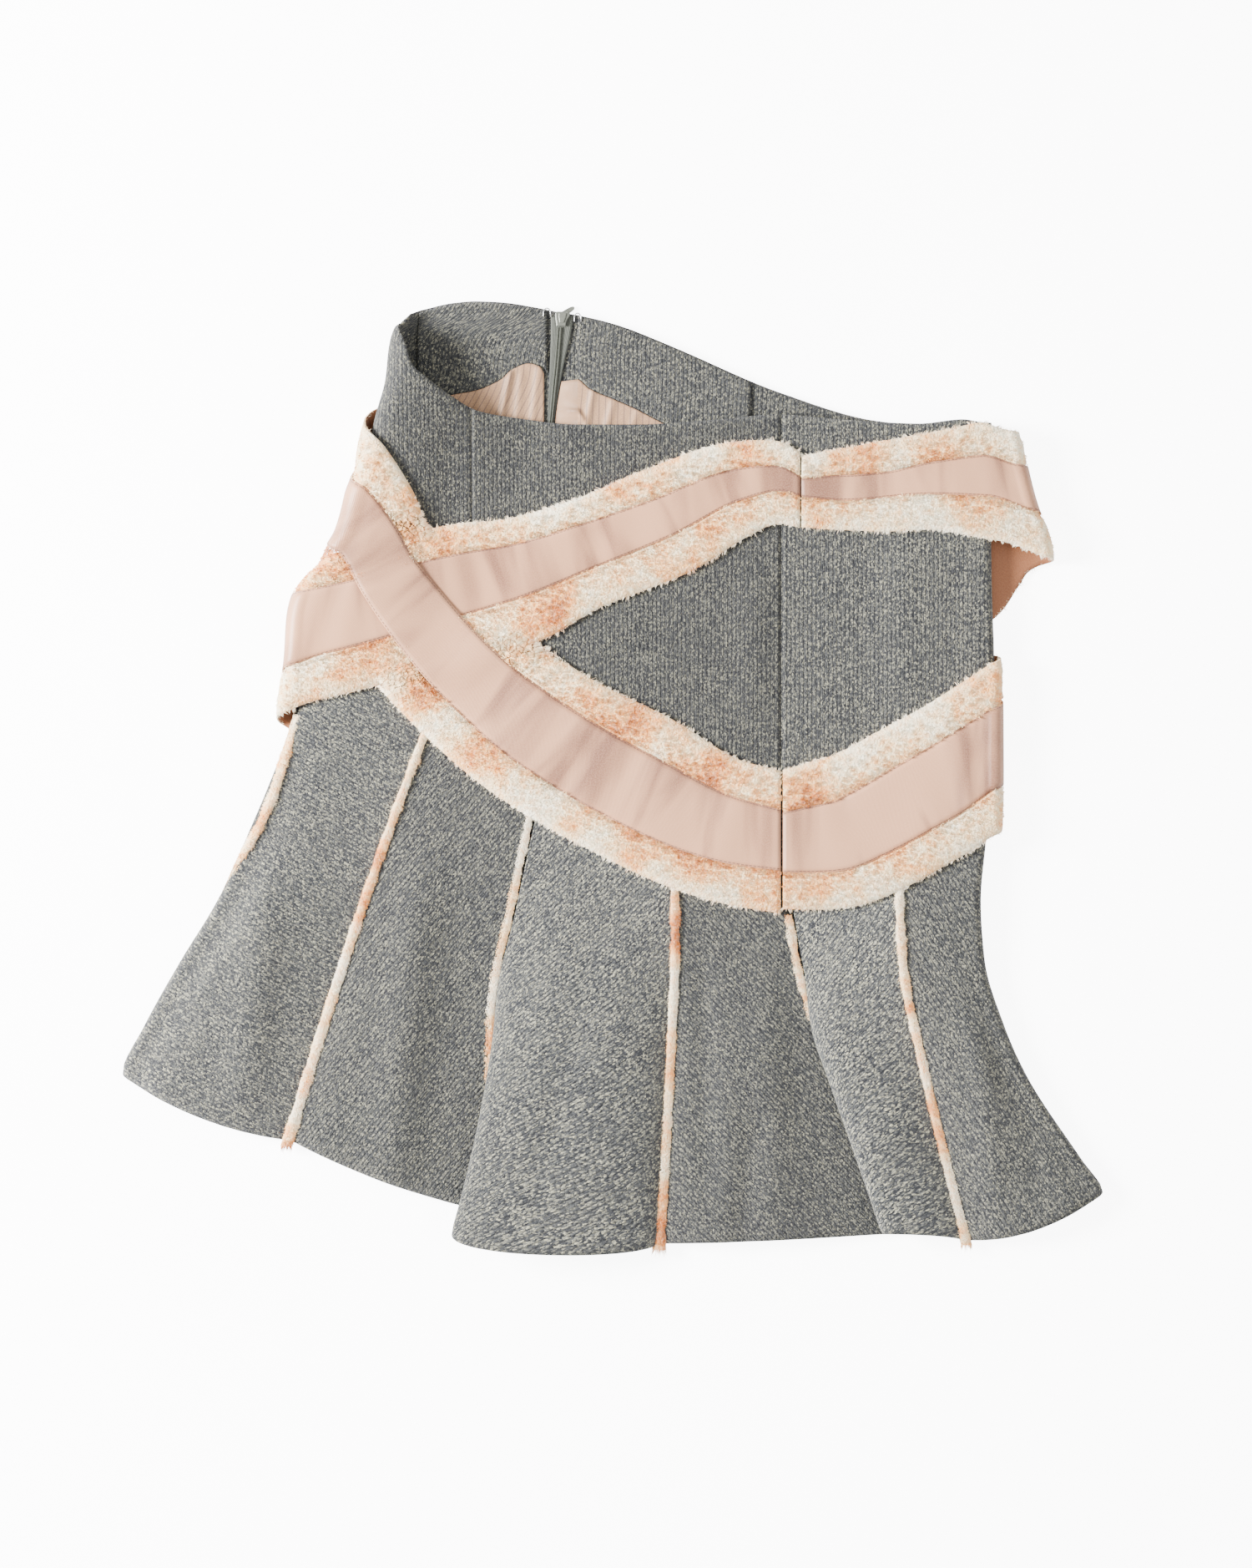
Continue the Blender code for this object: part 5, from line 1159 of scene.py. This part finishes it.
def build_zip(tape_cloth, plastic, metal):
    """An invisible zip, closed, on the inner back, with its slider at the top."""
    tape = columns(ZIP_TAPE)
    coil = columns(COILS)
    downs = np.linspace(tape[0][0], tape[0][-1], TAPE_ROWS)

    def tape_edges(down):
        """Places across the tape."""
        left, right = (float(follow(tape[0], side, down)) for side in tape[1:])
        return np.linspace(left, right, TAPE_COLS)

    under = zip_grid(downs, tape_edges, lambda r, c: INNER_LOW_MM)
    upper = zip_grid(downs, tape_edges, lambda r, c: 2.3 + 0.15 * math.sin(c * 2.1))
    cut = plain_cut(np.linspace(0.0, 0.012, TAPE_COLS), np.linspace(0.0, 0.1, TAPE_ROWS))
    thing = slab("zip_tape_cloth", under, upper, cut, edge_way(upper), [tape_cloth])
    settle(thing, "zip_tape", "skirt")
    declare(thing, (under + upper) / 2.0)
    downs = np.linspace(coil[0][0], coil[0][-1], COIL_ROWS)
    rib = 0.5 + 0.5 * np.cos(np.arange(COIL_ROWS) * 2.0 * math.pi / COIL_PITCH_ROWS)
    round_off = np.sin(np.linspace(0.12, 0.96, COIL_COLS) * math.pi) ** 0.5
    cut = plain_cut(np.arange(COIL_COLS) * 0.0005, np.arange(COIL_ROWS) * 0.0003)
    for name, side in (("zip_coil_left", -1.0), ("zip_coil_right", 1.0)):
        def coil_edges(down, side=side):
            """Places across one coil."""
            middle = float(follow(coil[0], coil[1], down))
            wide = 3.1 - 0.9 * float(smoothstep(440.0, 540.0, down))
            return middle + side * np.linspace(0.25, wide, COIL_COLS)

        under = zip_grid(downs, coil_edges, lambda r, c: 2.4)
        upper = zip_grid(downs, coil_edges, lambda r, c: 2.75 + (0.45 + 0.5 * rib[r]) * round_off[c])
        thing = slab(f"{name}_teeth", under, upper, cut, edge_way(upper), [plastic])
        settle(thing, name, "skirt")
    build_slider(metal)


def plate(name, outline, low_mm, high_mm, edge_units, metal):
    """A flat plate with softened edges, from an outline as seen and two heights above the back's middle."""
    outline = np.array(outline, float)
    middle = outline.mean(axis=0)
    size = np.abs(outline - middle).max()
    quarter = (high_mm - low_mm) * 0.25
    levels = ((low_mm, edge_units), (low_mm + quarter, 0.0), (high_mm - quarter, 0.0), (high_mm, edge_units))
    verts = []
    for high, inset in levels:
        ring = middle + (outline - middle) * (1.0 - inset / size)
        for x, down in ring:
            point = flat_point(float(middle[0]), float(middle[1]), high)
            verts.append((x * UNIT_MM * 0.001 + MOVED[0], -down * UNIT_MM * 0.001 + MOVED[1], point[2]))
    count = len(outline)
    faces = []
    for level in range(3):
        for k in range(count):
            a, b = level * count + k, level * count + (k + 1) % count
            faces.append((a, b, b + count, a + count))
    faces.append(list(range(count))[::-1])
    faces.append(list(range(3 * count, 4 * count)))
    thing = mesh_from(name, np.array(verts), faces, [metal])
    thing.data.polygons.foreach_set("use_smooth", np.zeros(len(thing.data.polygons), bool))
    add_map(thing, "Cut", np.array(verts)[:, :2])
    return thing


def build_slider(metal):
    """The slider's body: a spade shape with a raised middle, and the neck over the waist edge."""
    body = plate("slider_body", SLIDER_OUTLINE, 2.7, 4.3, 1.2, metal)
    settle(body, "zip_slider", "skirt")
    crown = plate("slider_crown", SLIDER_CROWN, 4.2, 4.9, 0.8, metal)
    settle(crown, None, "skirt")
    neck = plate("slider_neck", SLIDER_NECK, -1.9, 3.2, 0.3, metal)
    settle(neck, None, "skirt")


def build_pull(metal):
    """The pull tab: a thin rounded plate on the outer side."""
    (hx, hy), (tx, ty) = PULL_HINGE, PULL_TIP
    length = math.hypot(tx - hx, ty - hy)
    ux, uy = (tx - hx) / length, (ty - hy) / length
    outline = []
    for share, half in PULL_OUTLINE:
        outline.append((hx + ux * length * share - uy * PULL_HALF * half,
                        hy + uy * length * share + ux * PULL_HALF * half))
    thing = plate("pull_tab", outline, PULL_LOW_MM, PULL_HIGH_MM, 0.35, metal)
    settle(thing, "zip_pull", "pull")


def wire(name, points, radius_mm, material, node=None):
    """A round wire through points."""
    points = np.asarray(points, float)
    run = np.gradient(points, axis=0)
    run /= np.linalg.norm(run, axis=1, keepdims=True)
    side = np.cross(run, (0.0, 0.0, 1.0))
    side /= np.linalg.norm(side, axis=1, keepdims=True)
    up = np.cross(side, run)
    angle = np.arange(ROUND_SIDES) * 2.0 * math.pi / ROUND_SIDES
    ring = side[:, None] * np.cos(angle)[None, :, None] + up[:, None] * np.sin(angle)[None, :, None]
    verts = (points[:, None] + ring * radius_mm * 0.001).reshape(-1, 3)
    thing = mesh_from(name, verts, bar_faces(len(points)), [material])
    add_map(thing, "Cut", verts[:, :2])
    settle(thing, node, "skirt")


def build_hook(material):
    """A wire hook and a wire eye, each sewn beside the top of the zip."""
    for name, x0, x1, y0, y1 in HOOKS:
        middle = (x0 + x1) / 2
        spots = []
        for angle in np.linspace(-0.35, math.pi + 0.35, 25):
            x = middle + (x1 - x0) / 2 * math.cos(angle)
            y = y1 - (y1 - y0) * math.sin(min(max(angle, 0.0), math.pi))
            spots.append(flat_point(x, y + 4.0 * float(angle < 0 or angle > math.pi), 3.2))
        wire(f"{name}_wire", spots, 0.38, material, name)


def tint(code):
    """A colour from its six figures, as light rather than as screen values."""
    parts = [int(code[k:k + 2], 16) / 255.0 for k in (0, 2, 4)]
    return tuple(p / 12.92 if p <= 0.04045 else ((p + 0.055) / 1.055) ** 2.4 for p in parts) + (1.0,)


def new_group(name, inputs, outputs):
    """A shader node group with named sockets. Gives the tree and its two ends."""
    tree = bpy.data.node_groups.new(name, "ShaderNodeTree")
    for label, kind, value in inputs:
        socket = tree.interface.new_socket(label, in_out="INPUT", socket_type=kind)
        socket.default_value = value
    for label, kind in outputs:
        tree.interface.new_socket(label, in_out="OUTPUT", socket_type=kind)
    return tree, tree.nodes.new("NodeGroupInput"), tree.nodes.new("NodeGroupOutput")


def fill(tree, socket, value):
    """Give an input a value, or link another node's output to it."""
    if isinstance(value, bpy.types.NodeSocket):
        tree.links.new(value, socket)
    else:
        socket.default_value = value


def put(tree, kind, settings=(), **inputs):
    """Add a node, set its properties and fill its inputs. i0 is the first input, i1 the second."""
    node = tree.nodes.new(kind)
    for label, value in settings:
        setattr(node, label, value)
    for label, value in inputs.items():
        key = int(label[1:]) if label[0] == "i" and label[1:].isdigit() else label.replace("_", " ")
        fill(tree, node.inputs[key], value)
    return node


def maths(tree, operation, a, b=0.0):
    """One sum of two values."""
    return put(tree, "ShaderNodeMath", (("operation", operation),), i0=a, i1=b).outputs[0]


def between(tree, value, low, high, to_low=0.0, to_high=1.0):
    """Read a value as a share of a range, smoothly."""
    node = put(tree, "ShaderNodeMapRange", (("interpolation_type", "SMOOTHSTEP"),), Value=value)
    for label, number in (("From Min", low), ("From Max", high), ("To Min", to_low), ("To Max", to_high)):
        node.inputs[label].default_value = number
    return node.outputs[0]


def mixed(tree, share, first, second, how="MIX"):
    """Two colours mixed."""
    node = tree.nodes.new("ShaderNodeMix")
    node.data_type = "RGBA"
    node.blend_type = how
    for key, value in ((0, share), (6, first), (7, second)):
        fill(tree, node.inputs[key], value)
    return node.outputs[2]


def steps(tree, value, stops, how="LINEAR"):
    """A colour ramp."""
    node = put(tree, "ShaderNodeValToRGB", Fac=value)
    ramp = node.color_ramp
    ramp.interpolation = how
    while len(ramp.elements) < len(stops):
        ramp.elements.new(0.5)
    for element, (share, colour) in zip(ramp.elements, stops):
        element.position = share
        element.color = colour
    return node.outputs[0]


ACROSS_BANDS = (("wave_type", "BANDS"), ("bands_direction", "X"))


def uv_place(tree, label):
    """Coordinates from one of the cloth's own maps."""
    return put(tree, "ShaderNodeUVMap", (("uv_map", label),)).outputs[0]


def object_place(tree):
    """A piece's coordinates in metres."""
    return put(tree, "ShaderNodeTexCoord").outputs["Object"]


def noise(tree, spot, scale, detail, **more):
    """A noise between 0 and 1."""
    return put(tree, "ShaderNodeTexNoise", Vector=spot, Scale=scale, Detail=detail, **more).outputs[0]


def cut_place(tree, scale_x, scale_y):
    """The cloth's own coordinates, in stitches."""
    spot = uv_place(tree, "Cut")
    return put(tree, "ShaderNodeMapping", i0=spot, Scale=(scale_x, scale_y, 1.0)).outputs[0]


def boucle_group():
    """Looped salt-and-pepper yarn: a colour and a height, with painted shade in the wale grooves and between
    loops, and the panel's painted light and shade.
    """
    inputs = (("Tone", "NodeSocketColor", (1.0, 1.0, 1.0, 1.0)),)
    outputs = (("Color", "NodeSocketColor"), ("Height", "NodeSocketFloat"))
    tree, start, end = new_group("looped_yarn", inputs, outputs)
    spot = cut_place(tree, 1000.0, 1000.0)
    warp = put(tree, "ShaderNodeTexNoise", Vector=spot, Scale=0.5, Detail=2.0).outputs["Color"]
    warped = put(tree, "ShaderNodeVectorMath", (("operation", "SCALE"),), i0=warp, Scale=1.5).outputs[0]
    bent = put(tree, "ShaderNodeVectorMath", (("operation", "ADD"),), i0=spot, i1=warped).outputs[0]
    squeezed = put(tree, "ShaderNodeMapping", i0=bent, Scale=(1.0, 0.72, 1.0)).outputs[0]
    loops = put(tree, "ShaderNodeTexVoronoi", (("feature", "F1"),), Vector=squeezed, Scale=1.15,
                Randomness=0.8)
    cell = put(tree, "ShaderNodeSeparateColor", Color=loops.outputs["Color"]).outputs[0]
    fine = noise(tree, bent, 2.6, 3.0, Roughness=0.7)
    pick = maths(tree, "ADD", maths(tree, "MULTIPLY", cell, 0.45), maths(tree, "MULTIPLY", fine, 0.75))
    yarn = steps(tree, pick, ((0.34, tint("16181c")), (0.47, tint("2c2e33")), (0.59, tint("4c4e4f")),
                              (0.70, tint("74746c")), (0.83, tint("b8b49c"))))
    wide = noise(tree, spot, 0.05, 2.0)
    yarn = mixed(tree, between(tree, wide, 0.35, 0.65, 0.0, 0.2), yarn, tint("5c5d5b"))
    # Painted shade in the grooves between wales: darker where the wave is low, the same mask that sinks the
    # height.
    wales = put(tree, "ShaderNodeTexWave", ACROSS_BANDS, Vector=bent,
                Scale=0.118, Distortion=0.5, Detail=1.0).outputs[1]
    groove_and_shade = maths(tree, "MULTIPLY", between(tree, wales, 0.0, 0.5, 1.0, 0.0), 0.45)
    yarn = mixed(tree, groove_and_shade, yarn, tint("1c1e23"))
    # Painted shade in the gaps between loops: darker towards the edges of each loop's cell.
    gap_shade = between(tree, loops.outputs["Distance"], 0.4, 0.8, 0.0, 0.5)
    yarn = mixed(tree, gap_shade, yarn, tint("1f2126"))
    bead = maths(tree, "SUBTRACT", 1.0, loops.outputs["Distance"])
    height = maths(tree, "ADD", maths(tree, "MULTIPLY", bead, 0.7), maths(tree, "MULTIPLY", fine, 0.35))
    height = maths(tree, "SUBTRACT", height, groove_and_shade)
    # The panel's brightness multiplies the colour: painted light and shade.
    yarn = mixed(tree, 1.0, yarn, start.outputs["Tone"], "MULTIPLY")
    tree.links.new(yarn, end.inputs["Color"])
    tree.links.new(height, end.inputs["Height"])
    return tree


def twill_group():
    """Fine slanting ribs of a satin twill: a height, and a faint shade along the threads."""
    inputs = (("Ribs", "NodeSocketFloat", 1500.0),)
    outputs = (("Height", "NodeSocketFloat"), ("Shade", "NodeSocketFloat"))
    tree, start, end = new_group("fine_twill", inputs, outputs)
    spot = uv_place(tree, "Cut")
    turned = put(tree, "ShaderNodeMapping", i0=spot, Rotation=(0.0, 0.0, math.radians(32.0))).outputs[0]
    scaled = put(tree, "ShaderNodeVectorMath", (("operation", "SCALE"),), i0=turned,
                 Scale=start.outputs["Ribs"]).outputs[0]
    ribs = put(tree, "ShaderNodeTexWave", ACROSS_BANDS, Vector=scaled, Scale=0.32,
               Distortion=0.4, Detail=1.0).outputs[1]
    threads = noise(tree, scaled, 0.8, 2.0)
    height = maths(tree, "ADD", ribs, maths(tree, "MULTIPLY", threads, 0.35))
    tree.links.new(height, end.inputs["Height"])
    tree.links.new(threads, end.inputs["Shade"])
    return tree


def pile_group():
    """Cream pile with peach and orange-brown patches, painted shade between tufts and at the roots, and a
    painted highlight at the outer edge. Along is 0 at the roots, Edge 1 at the outer edge.
    """
    inputs = (("Along", "NodeSocketFloat", 0.7), ("Edge", "NodeSocketFloat", 0.5))
    tree, start, end = new_group("patchy_pile", inputs, (("Color", "NodeSocketColor"),))
    spot = object_place(tree)
    wide = noise(tree, spot, 26.0, 2.0, Roughness=0.55)
    small = noise(tree, spot, 150.0, 2.0, Roughness=0.6)
    tiny = noise(tree, spot, 520.0, 1.0)
    inner = maths(tree, "SUBTRACT", 1.0, between(tree, start.outputs["Edge"], 0.25, 0.9))
    amount = maths(tree, "ADD", wide, maths(tree, "MULTIPLY", small, 0.36))
    amount = maths(tree, "ADD", amount, maths(tree, "MULTIPLY", inner, 0.14))
    hair = steps(tree, amount, ((0.60, tint("faeed0")), (0.72, tint("f9dcaa")), (0.85, tint("f6b46a")),
                                (0.94, tint("e08a3c")), (1.0, tint("c06c2c"))))
    hair = mixed(tree, between(tree, tiny, 0.35, 0.7, 0.0, 0.2), hair, tint("fbf4de"))
    # Paler at the outer edge: the fringe's own white tufts, with a painted highlight on its rounded edge.
    hair = mixed(tree, between(tree, start.outputs["Edge"], 0.78, 1.0, 0.0, 0.5), hair, tint("fdf6e4"))
    # Painted shade between the tufts: darker where this tuft-sized noise is low.
    tuft_shade = noise(tree, spot, 290.0, 1.0)
    hair = mixed(tree, between(tree, tuft_shade, 0.36, 0.56, 0.35, 0.0), hair, tint("f0c090"), "MULTIPLY")
    # Painted shade at the roots, with their own warmer peach: darker and warmer towards Along 0.
    root_shade = mixed(tree, 0.25, hair, tint("eab088"), "MULTIPLY")
    colour = mixed(tree, between(tree, start.outputs["Along"], 0.0, 0.6), root_shade, hair)
    tree.links.new(colour, end.inputs["Color"])
    return tree


def cloth_material(name, roughness, sheen=0.0):
    """A Principled material. Gives the material, its tree and its shader."""
    material = bpy.data.materials.new(name)
    material.use_nodes = True
    tree = material.node_tree
    shader = tree.nodes["Principled BSDF"]
    shader.inputs["Roughness"].default_value = roughness
    shader.inputs["Sheen Weight"].default_value = sheen
    shader.inputs["Specular IOR Level"].default_value = 0.3
    return material, tree, shader


def place_group(tree, group, **values):
    """Add a shared group with a material's own values."""
    node = tree.nodes.new("ShaderNodeGroup")
    node.node_tree = group
    for label, value in values.items():
        fill(tree, node.inputs[label], value)
    return node


def raise_surface(tree, shader, height, distance, strength=1.0):
    """Let a height stand out of the surface, by a distance in metres."""
    bump = put(tree, "ShaderNodeBump", Height=height, Distance=distance, Strength=strength)
    tree.links.new(bump.outputs[0], shader.inputs["Normal"])


def knit_material(group, name, painted_tone):
    """Marled grey boucle knit, its colour scaled brighter or darker for each panel as painted light and
    shade.
    """
    material, tree, shader = cloth_material(name, 0.92, 0.15)
    shader.inputs["Sheen Roughness"].default_value = 0.6
    yarn = place_group(tree, group, Tone=(painted_tone, painted_tone * 0.99, painted_tone * 0.96, 1.0))
    tree.links.new(yarn.outputs["Color"], shader.inputs["Base Color"])
    raise_surface(tree, shader, yarn.outputs["Height"], 0.0011, 0.9)
    return material


def plush_material(group):
    """The lumpy backing seen between the hairs of the pile."""
    material, tree, shader = cloth_material("plush_backing", 0.95, 0.3)
    colour = place_group(tree, group, Along=0.6, Edge=0.6)
    spot = object_place(tree)
    lumps = noise(tree, spot, 620.0, 3.0)
    tree.links.new(colour.outputs[0], shader.inputs["Base Color"])
    raise_surface(tree, shader, lumps, 0.0018)
    return material


def pile_material(group):
    """The hairs of the pile, paler towards their tips, with a faint painted glow in their own colour."""
    material, tree, shader = cloth_material("pile", 0.85, 0.45)
    spot = uv_place(tree, "Cut")
    parts = put(tree, "ShaderNodeSeparateXYZ", Vector=spot)
    colour = place_group(tree, group, Along=parts.outputs[0], Edge=parts.outputs[1])
    tree.links.new(colour.outputs[0], shader.inputs["Base Color"])
    # Painted light: the hairs glow faintly in their own colour, to look brighter.
    tree.links.new(colour.outputs[0], shader.inputs["Emission Color"])
    shader.inputs["Emission Strength"].default_value = 0.3
    return material


def satin_material(group):
    """Dusty pink satin ribbon with painted sheen in soft bands, and a line of stitches inside each edge."""
    material, tree, shader = cloth_material("ribbon_satin", 0.42, 0.25)
    shader.inputs["Specular IOR Level"].default_value = 0.45
    twill = place_group(tree, group, Ribs=1500.0)
    rim = uv_place(tree, "Rim")
    parts = put(tree, "ShaderNodeSeparateXYZ", Vector=rim)
    sides = parts.outputs[0]
    spot = object_place(tree)
    # Painted sheen: broad soft light and dark bands across the satin, mixed into its colour.
    broad_sheen = noise(tree, spot, 9.0, 1.0)
    stretched = cut_place(tree, 52.0, 11.0)
    bands = noise(tree, stretched, 1.0, 2.0, Distortion=0.6)
    sheen = maths(tree, "ADD", maths(tree, "MULTIPLY", broad_sheen, 0.6), maths(tree, "MULTIPLY", bands, 0.7))
    base = mixed(tree, between(tree, sheen, 0.48, 0.78), tint("784c38"), tint("c48e6a"))
    base = mixed(tree, between(tree, twill.outputs["Shade"], 0.3, 0.7, 0.0, 0.22), base, tint("d2a688"))
    near = maths(tree, "MULTIPLY", between(tree, sides, 0.75, 0.95),
                 between(tree, sides, 1.15, 1.4, 1.0, 0.0))
    along = put(tree, "ShaderNodeSeparateXYZ", Vector=cut_place(tree, 420.0, 1.0)).outputs[0]
    dash = between(tree, maths(tree, "FRACT", along), 0.2, 0.4)
    near = maths(tree, "MULTIPLY", near, dash)
    base = mixed(tree, maths(tree, "MULTIPLY", near, 0.8), base, tint("4c2c20"))
    tree.links.new(base, shader.inputs["Base Color"])
    groove = maths(tree, "SUBTRACT", maths(tree, "MULTIPLY", twill.outputs["Height"], 0.25), near)
    raise_surface(tree, shader, groove, 0.0003, 0.7)
    return material


def band_lining_material(group):
    """Plain peach satin on the inner side of the trim."""
    material, tree, shader = cloth_material("band_lining", 0.45, 0.2)
    twill = place_group(tree, group, Ribs=1300.0)
    base = mixed(tree, between(tree, twill.outputs["Shade"], 0.3, 0.7), tint("8a5534"), tint("96603e"))
    tree.links.new(base, shader.inputs["Base Color"])
    raise_surface(tree, shader, twill.outputs["Height"], 0.00012, 0.6)
    return material


def striped_lining_material(group):
    """Peach satin lining with thin grey-brown stripes."""
    material, tree, shader = cloth_material("striped_lining", 0.4, 0.2)
    spot = uv_place(tree, "Cut")
    wander = noise(tree, spot, 30.0, 1.0)
    parts = put(tree, "ShaderNodeSeparateXYZ", Vector=spot)
    across = maths(tree, "ADD", maths(tree, "MULTIPLY", parts.outputs[0], 255.0),
                   maths(tree, "MULTIPLY", wander, 0.9))
    phase = maths(tree, "FRACT", across)
    away = maths(tree, "ABSOLUTE", maths(tree, "SUBTRACT", phase, 0.5))
    stripe = between(tree, away, 0.06, 0.13, 1.0, 0.0)
    twill = place_group(tree, group, Ribs=1500.0)
    base = mixed(tree, between(tree, twill.outputs["Shade"], 0.3, 0.7), tint("b08a6a"), tint("987558"))
    base = mixed(tree, maths(tree, "MULTIPLY", stripe, 0.62), base, tint("5d4d48"))
    tree.links.new(base, shader.inputs["Base Color"])
    raise_surface(tree, shader, twill.outputs["Height"], 0.0001, 0.5)
    return material


def tape_material():
    """Grey woven zip tape with fine ribs down it."""
    material, tree, shader = cloth_material("zip_tape", 0.8, 0.1)
    spot = cut_place(tree, 1000.0, 1000.0)
    ribs = put(tree, "ShaderNodeTexWave", ACROSS_BANDS, Vector=spot, Scale=0.45,
               Distortion=0.3).outputs[1]
    base = mixed(tree, ribs, tint("474943"), tint("5b5d55"))
    tree.links.new(base, shader.inputs["Base Color"])
    raise_surface(tree, shader, ribs, 0.0003, 0.8)
    return material


def plain_material(name, code, roughness, metallic, grain_size):
    """A hard material with a faint unevenness."""
    material, tree, shader = cloth_material(name, roughness)
    shader.inputs["Metallic"].default_value = metallic
    spot = object_place(tree)
    speckle = noise(tree, spot, grain_size, 2.0)
    colour = tint(code)
    darker = tuple(c * 0.82 for c in colour[:3]) + (1.0,)
    base = mixed(tree, between(tree, speckle, 0.3, 0.7), darker, colour)
    tree.links.new(base, shader.inputs["Base Color"])
    raise_surface(tree, shader, speckle, 0.0001, 0.5)
    return material


def floor_and_light():
    """A plain pale floor and soft studio light."""
    verts = np.array([(-3.0, -3.0, 0.0), (3.0, -3.0, 0.0), (3.0, 3.0, 0.0), (-3.0, 3.0, 0.0)])
    material, tree, shader = cloth_material("floor", 0.9)
    shader.inputs["Base Color"].default_value = (0.95, 0.95, 0.95, 1.0)
    shader.inputs["Emission Color"].default_value = (1.0, 1.0, 1.0, 1.0)
    seen = put(tree, "ShaderNodeLightPath").outputs["Is Camera Ray"]
    glow = maths(tree, "MULTIPLY", seen, FLOOR_GLOW)
    tree.links.new(glow, shader.inputs["Emission Strength"])
    floor = mesh_from("floor", verts, [(0, 1, 2, 3)], [material])
    world = bpy.context.scene.world or bpy.data.worlds.new("World")
    bpy.context.scene.world = world
    world.use_nodes = True
    world.node_tree.nodes["Background"].inputs[0].default_value = (1.0, 1.0, 1.0, 1.0)
    world.node_tree.nodes["Background"].inputs[1].default_value = WORLD_LIGHT
    for name, spot, size, power in LIGHTS:
        light = bpy.data.lights.new(name, "AREA")
        light.shape = "DISK"
        light.size = size
        light.energy = power
        lamp = bpy.data.objects.new(name, light)
        lamp.location = spot
        bpy.context.scene.collection.objects.link(lamp)
        aim = -np.array(spot)
        aim = aim / np.linalg.norm(aim)
        lamp.rotation_euler = (math.acos(-aim[2]), 0.0, math.atan2(aim[1], aim[0]) - math.pi / 2.0)


def overhead_camera():
    """The photograph's camera: straight above, with the skirt's waist at the top."""
    data = bpy.data.cameras.new("camera")
    data.sensor_fit = "VERTICAL"
    data.sensor_height = CAMERA_SENSOR_MM
    data.lens = CAMERA_LENS_MM
    camera = bpy.data.objects.new("camera", data)
    camera.location = CAMERA_PLACE
    bpy.context.scene.collection.objects.link(camera)
    bpy.context.scene.camera = camera


def main():
    """Materials, floor and light, then every piece from the yoke to the hook."""
    yarn, twill, patches = boucle_group(), twill_group(), pile_group()
    usual = knit_material(yarn, "knit", USUAL_TONE)
    # Copies of the knit coloured brighter and darker by panel: painted light and shade.
    shaded_knits = {name: knit_material(yarn, f"knit_{name}", painted_tone) for name, painted_tone in PANEL_PAINTED_SHADES.items()}

    def knit(panel):
        """The knit of a panel, with the panel's painted light and shade."""
        return shaded_knits.get(panel, usual)

    plush = plush_material(patches)
    pile = pile_material(patches)
    floor_and_light()
    build_yoke(knit)
    build_gores(knit)
    build_trim(plush, pile, satin_material(twill), band_lining_material(twill))
    for index in range(12):
        build_piping(index, plush, pile)
    build_waist_inside(usual, striped_lining_material(twill))
    metal = plain_material("zip_metal", "6d6f66", 0.38, 0.3, 900.0)
    build_zip(tape_material(), plain_material("zip_plastic", "45473f", 0.45, 0.0, 700.0), metal)
    build_pull(metal)
    build_hook(plain_material("wire", "c8c8c6", 0.3, 1.0, 900.0))
    overhead_camera()


main()
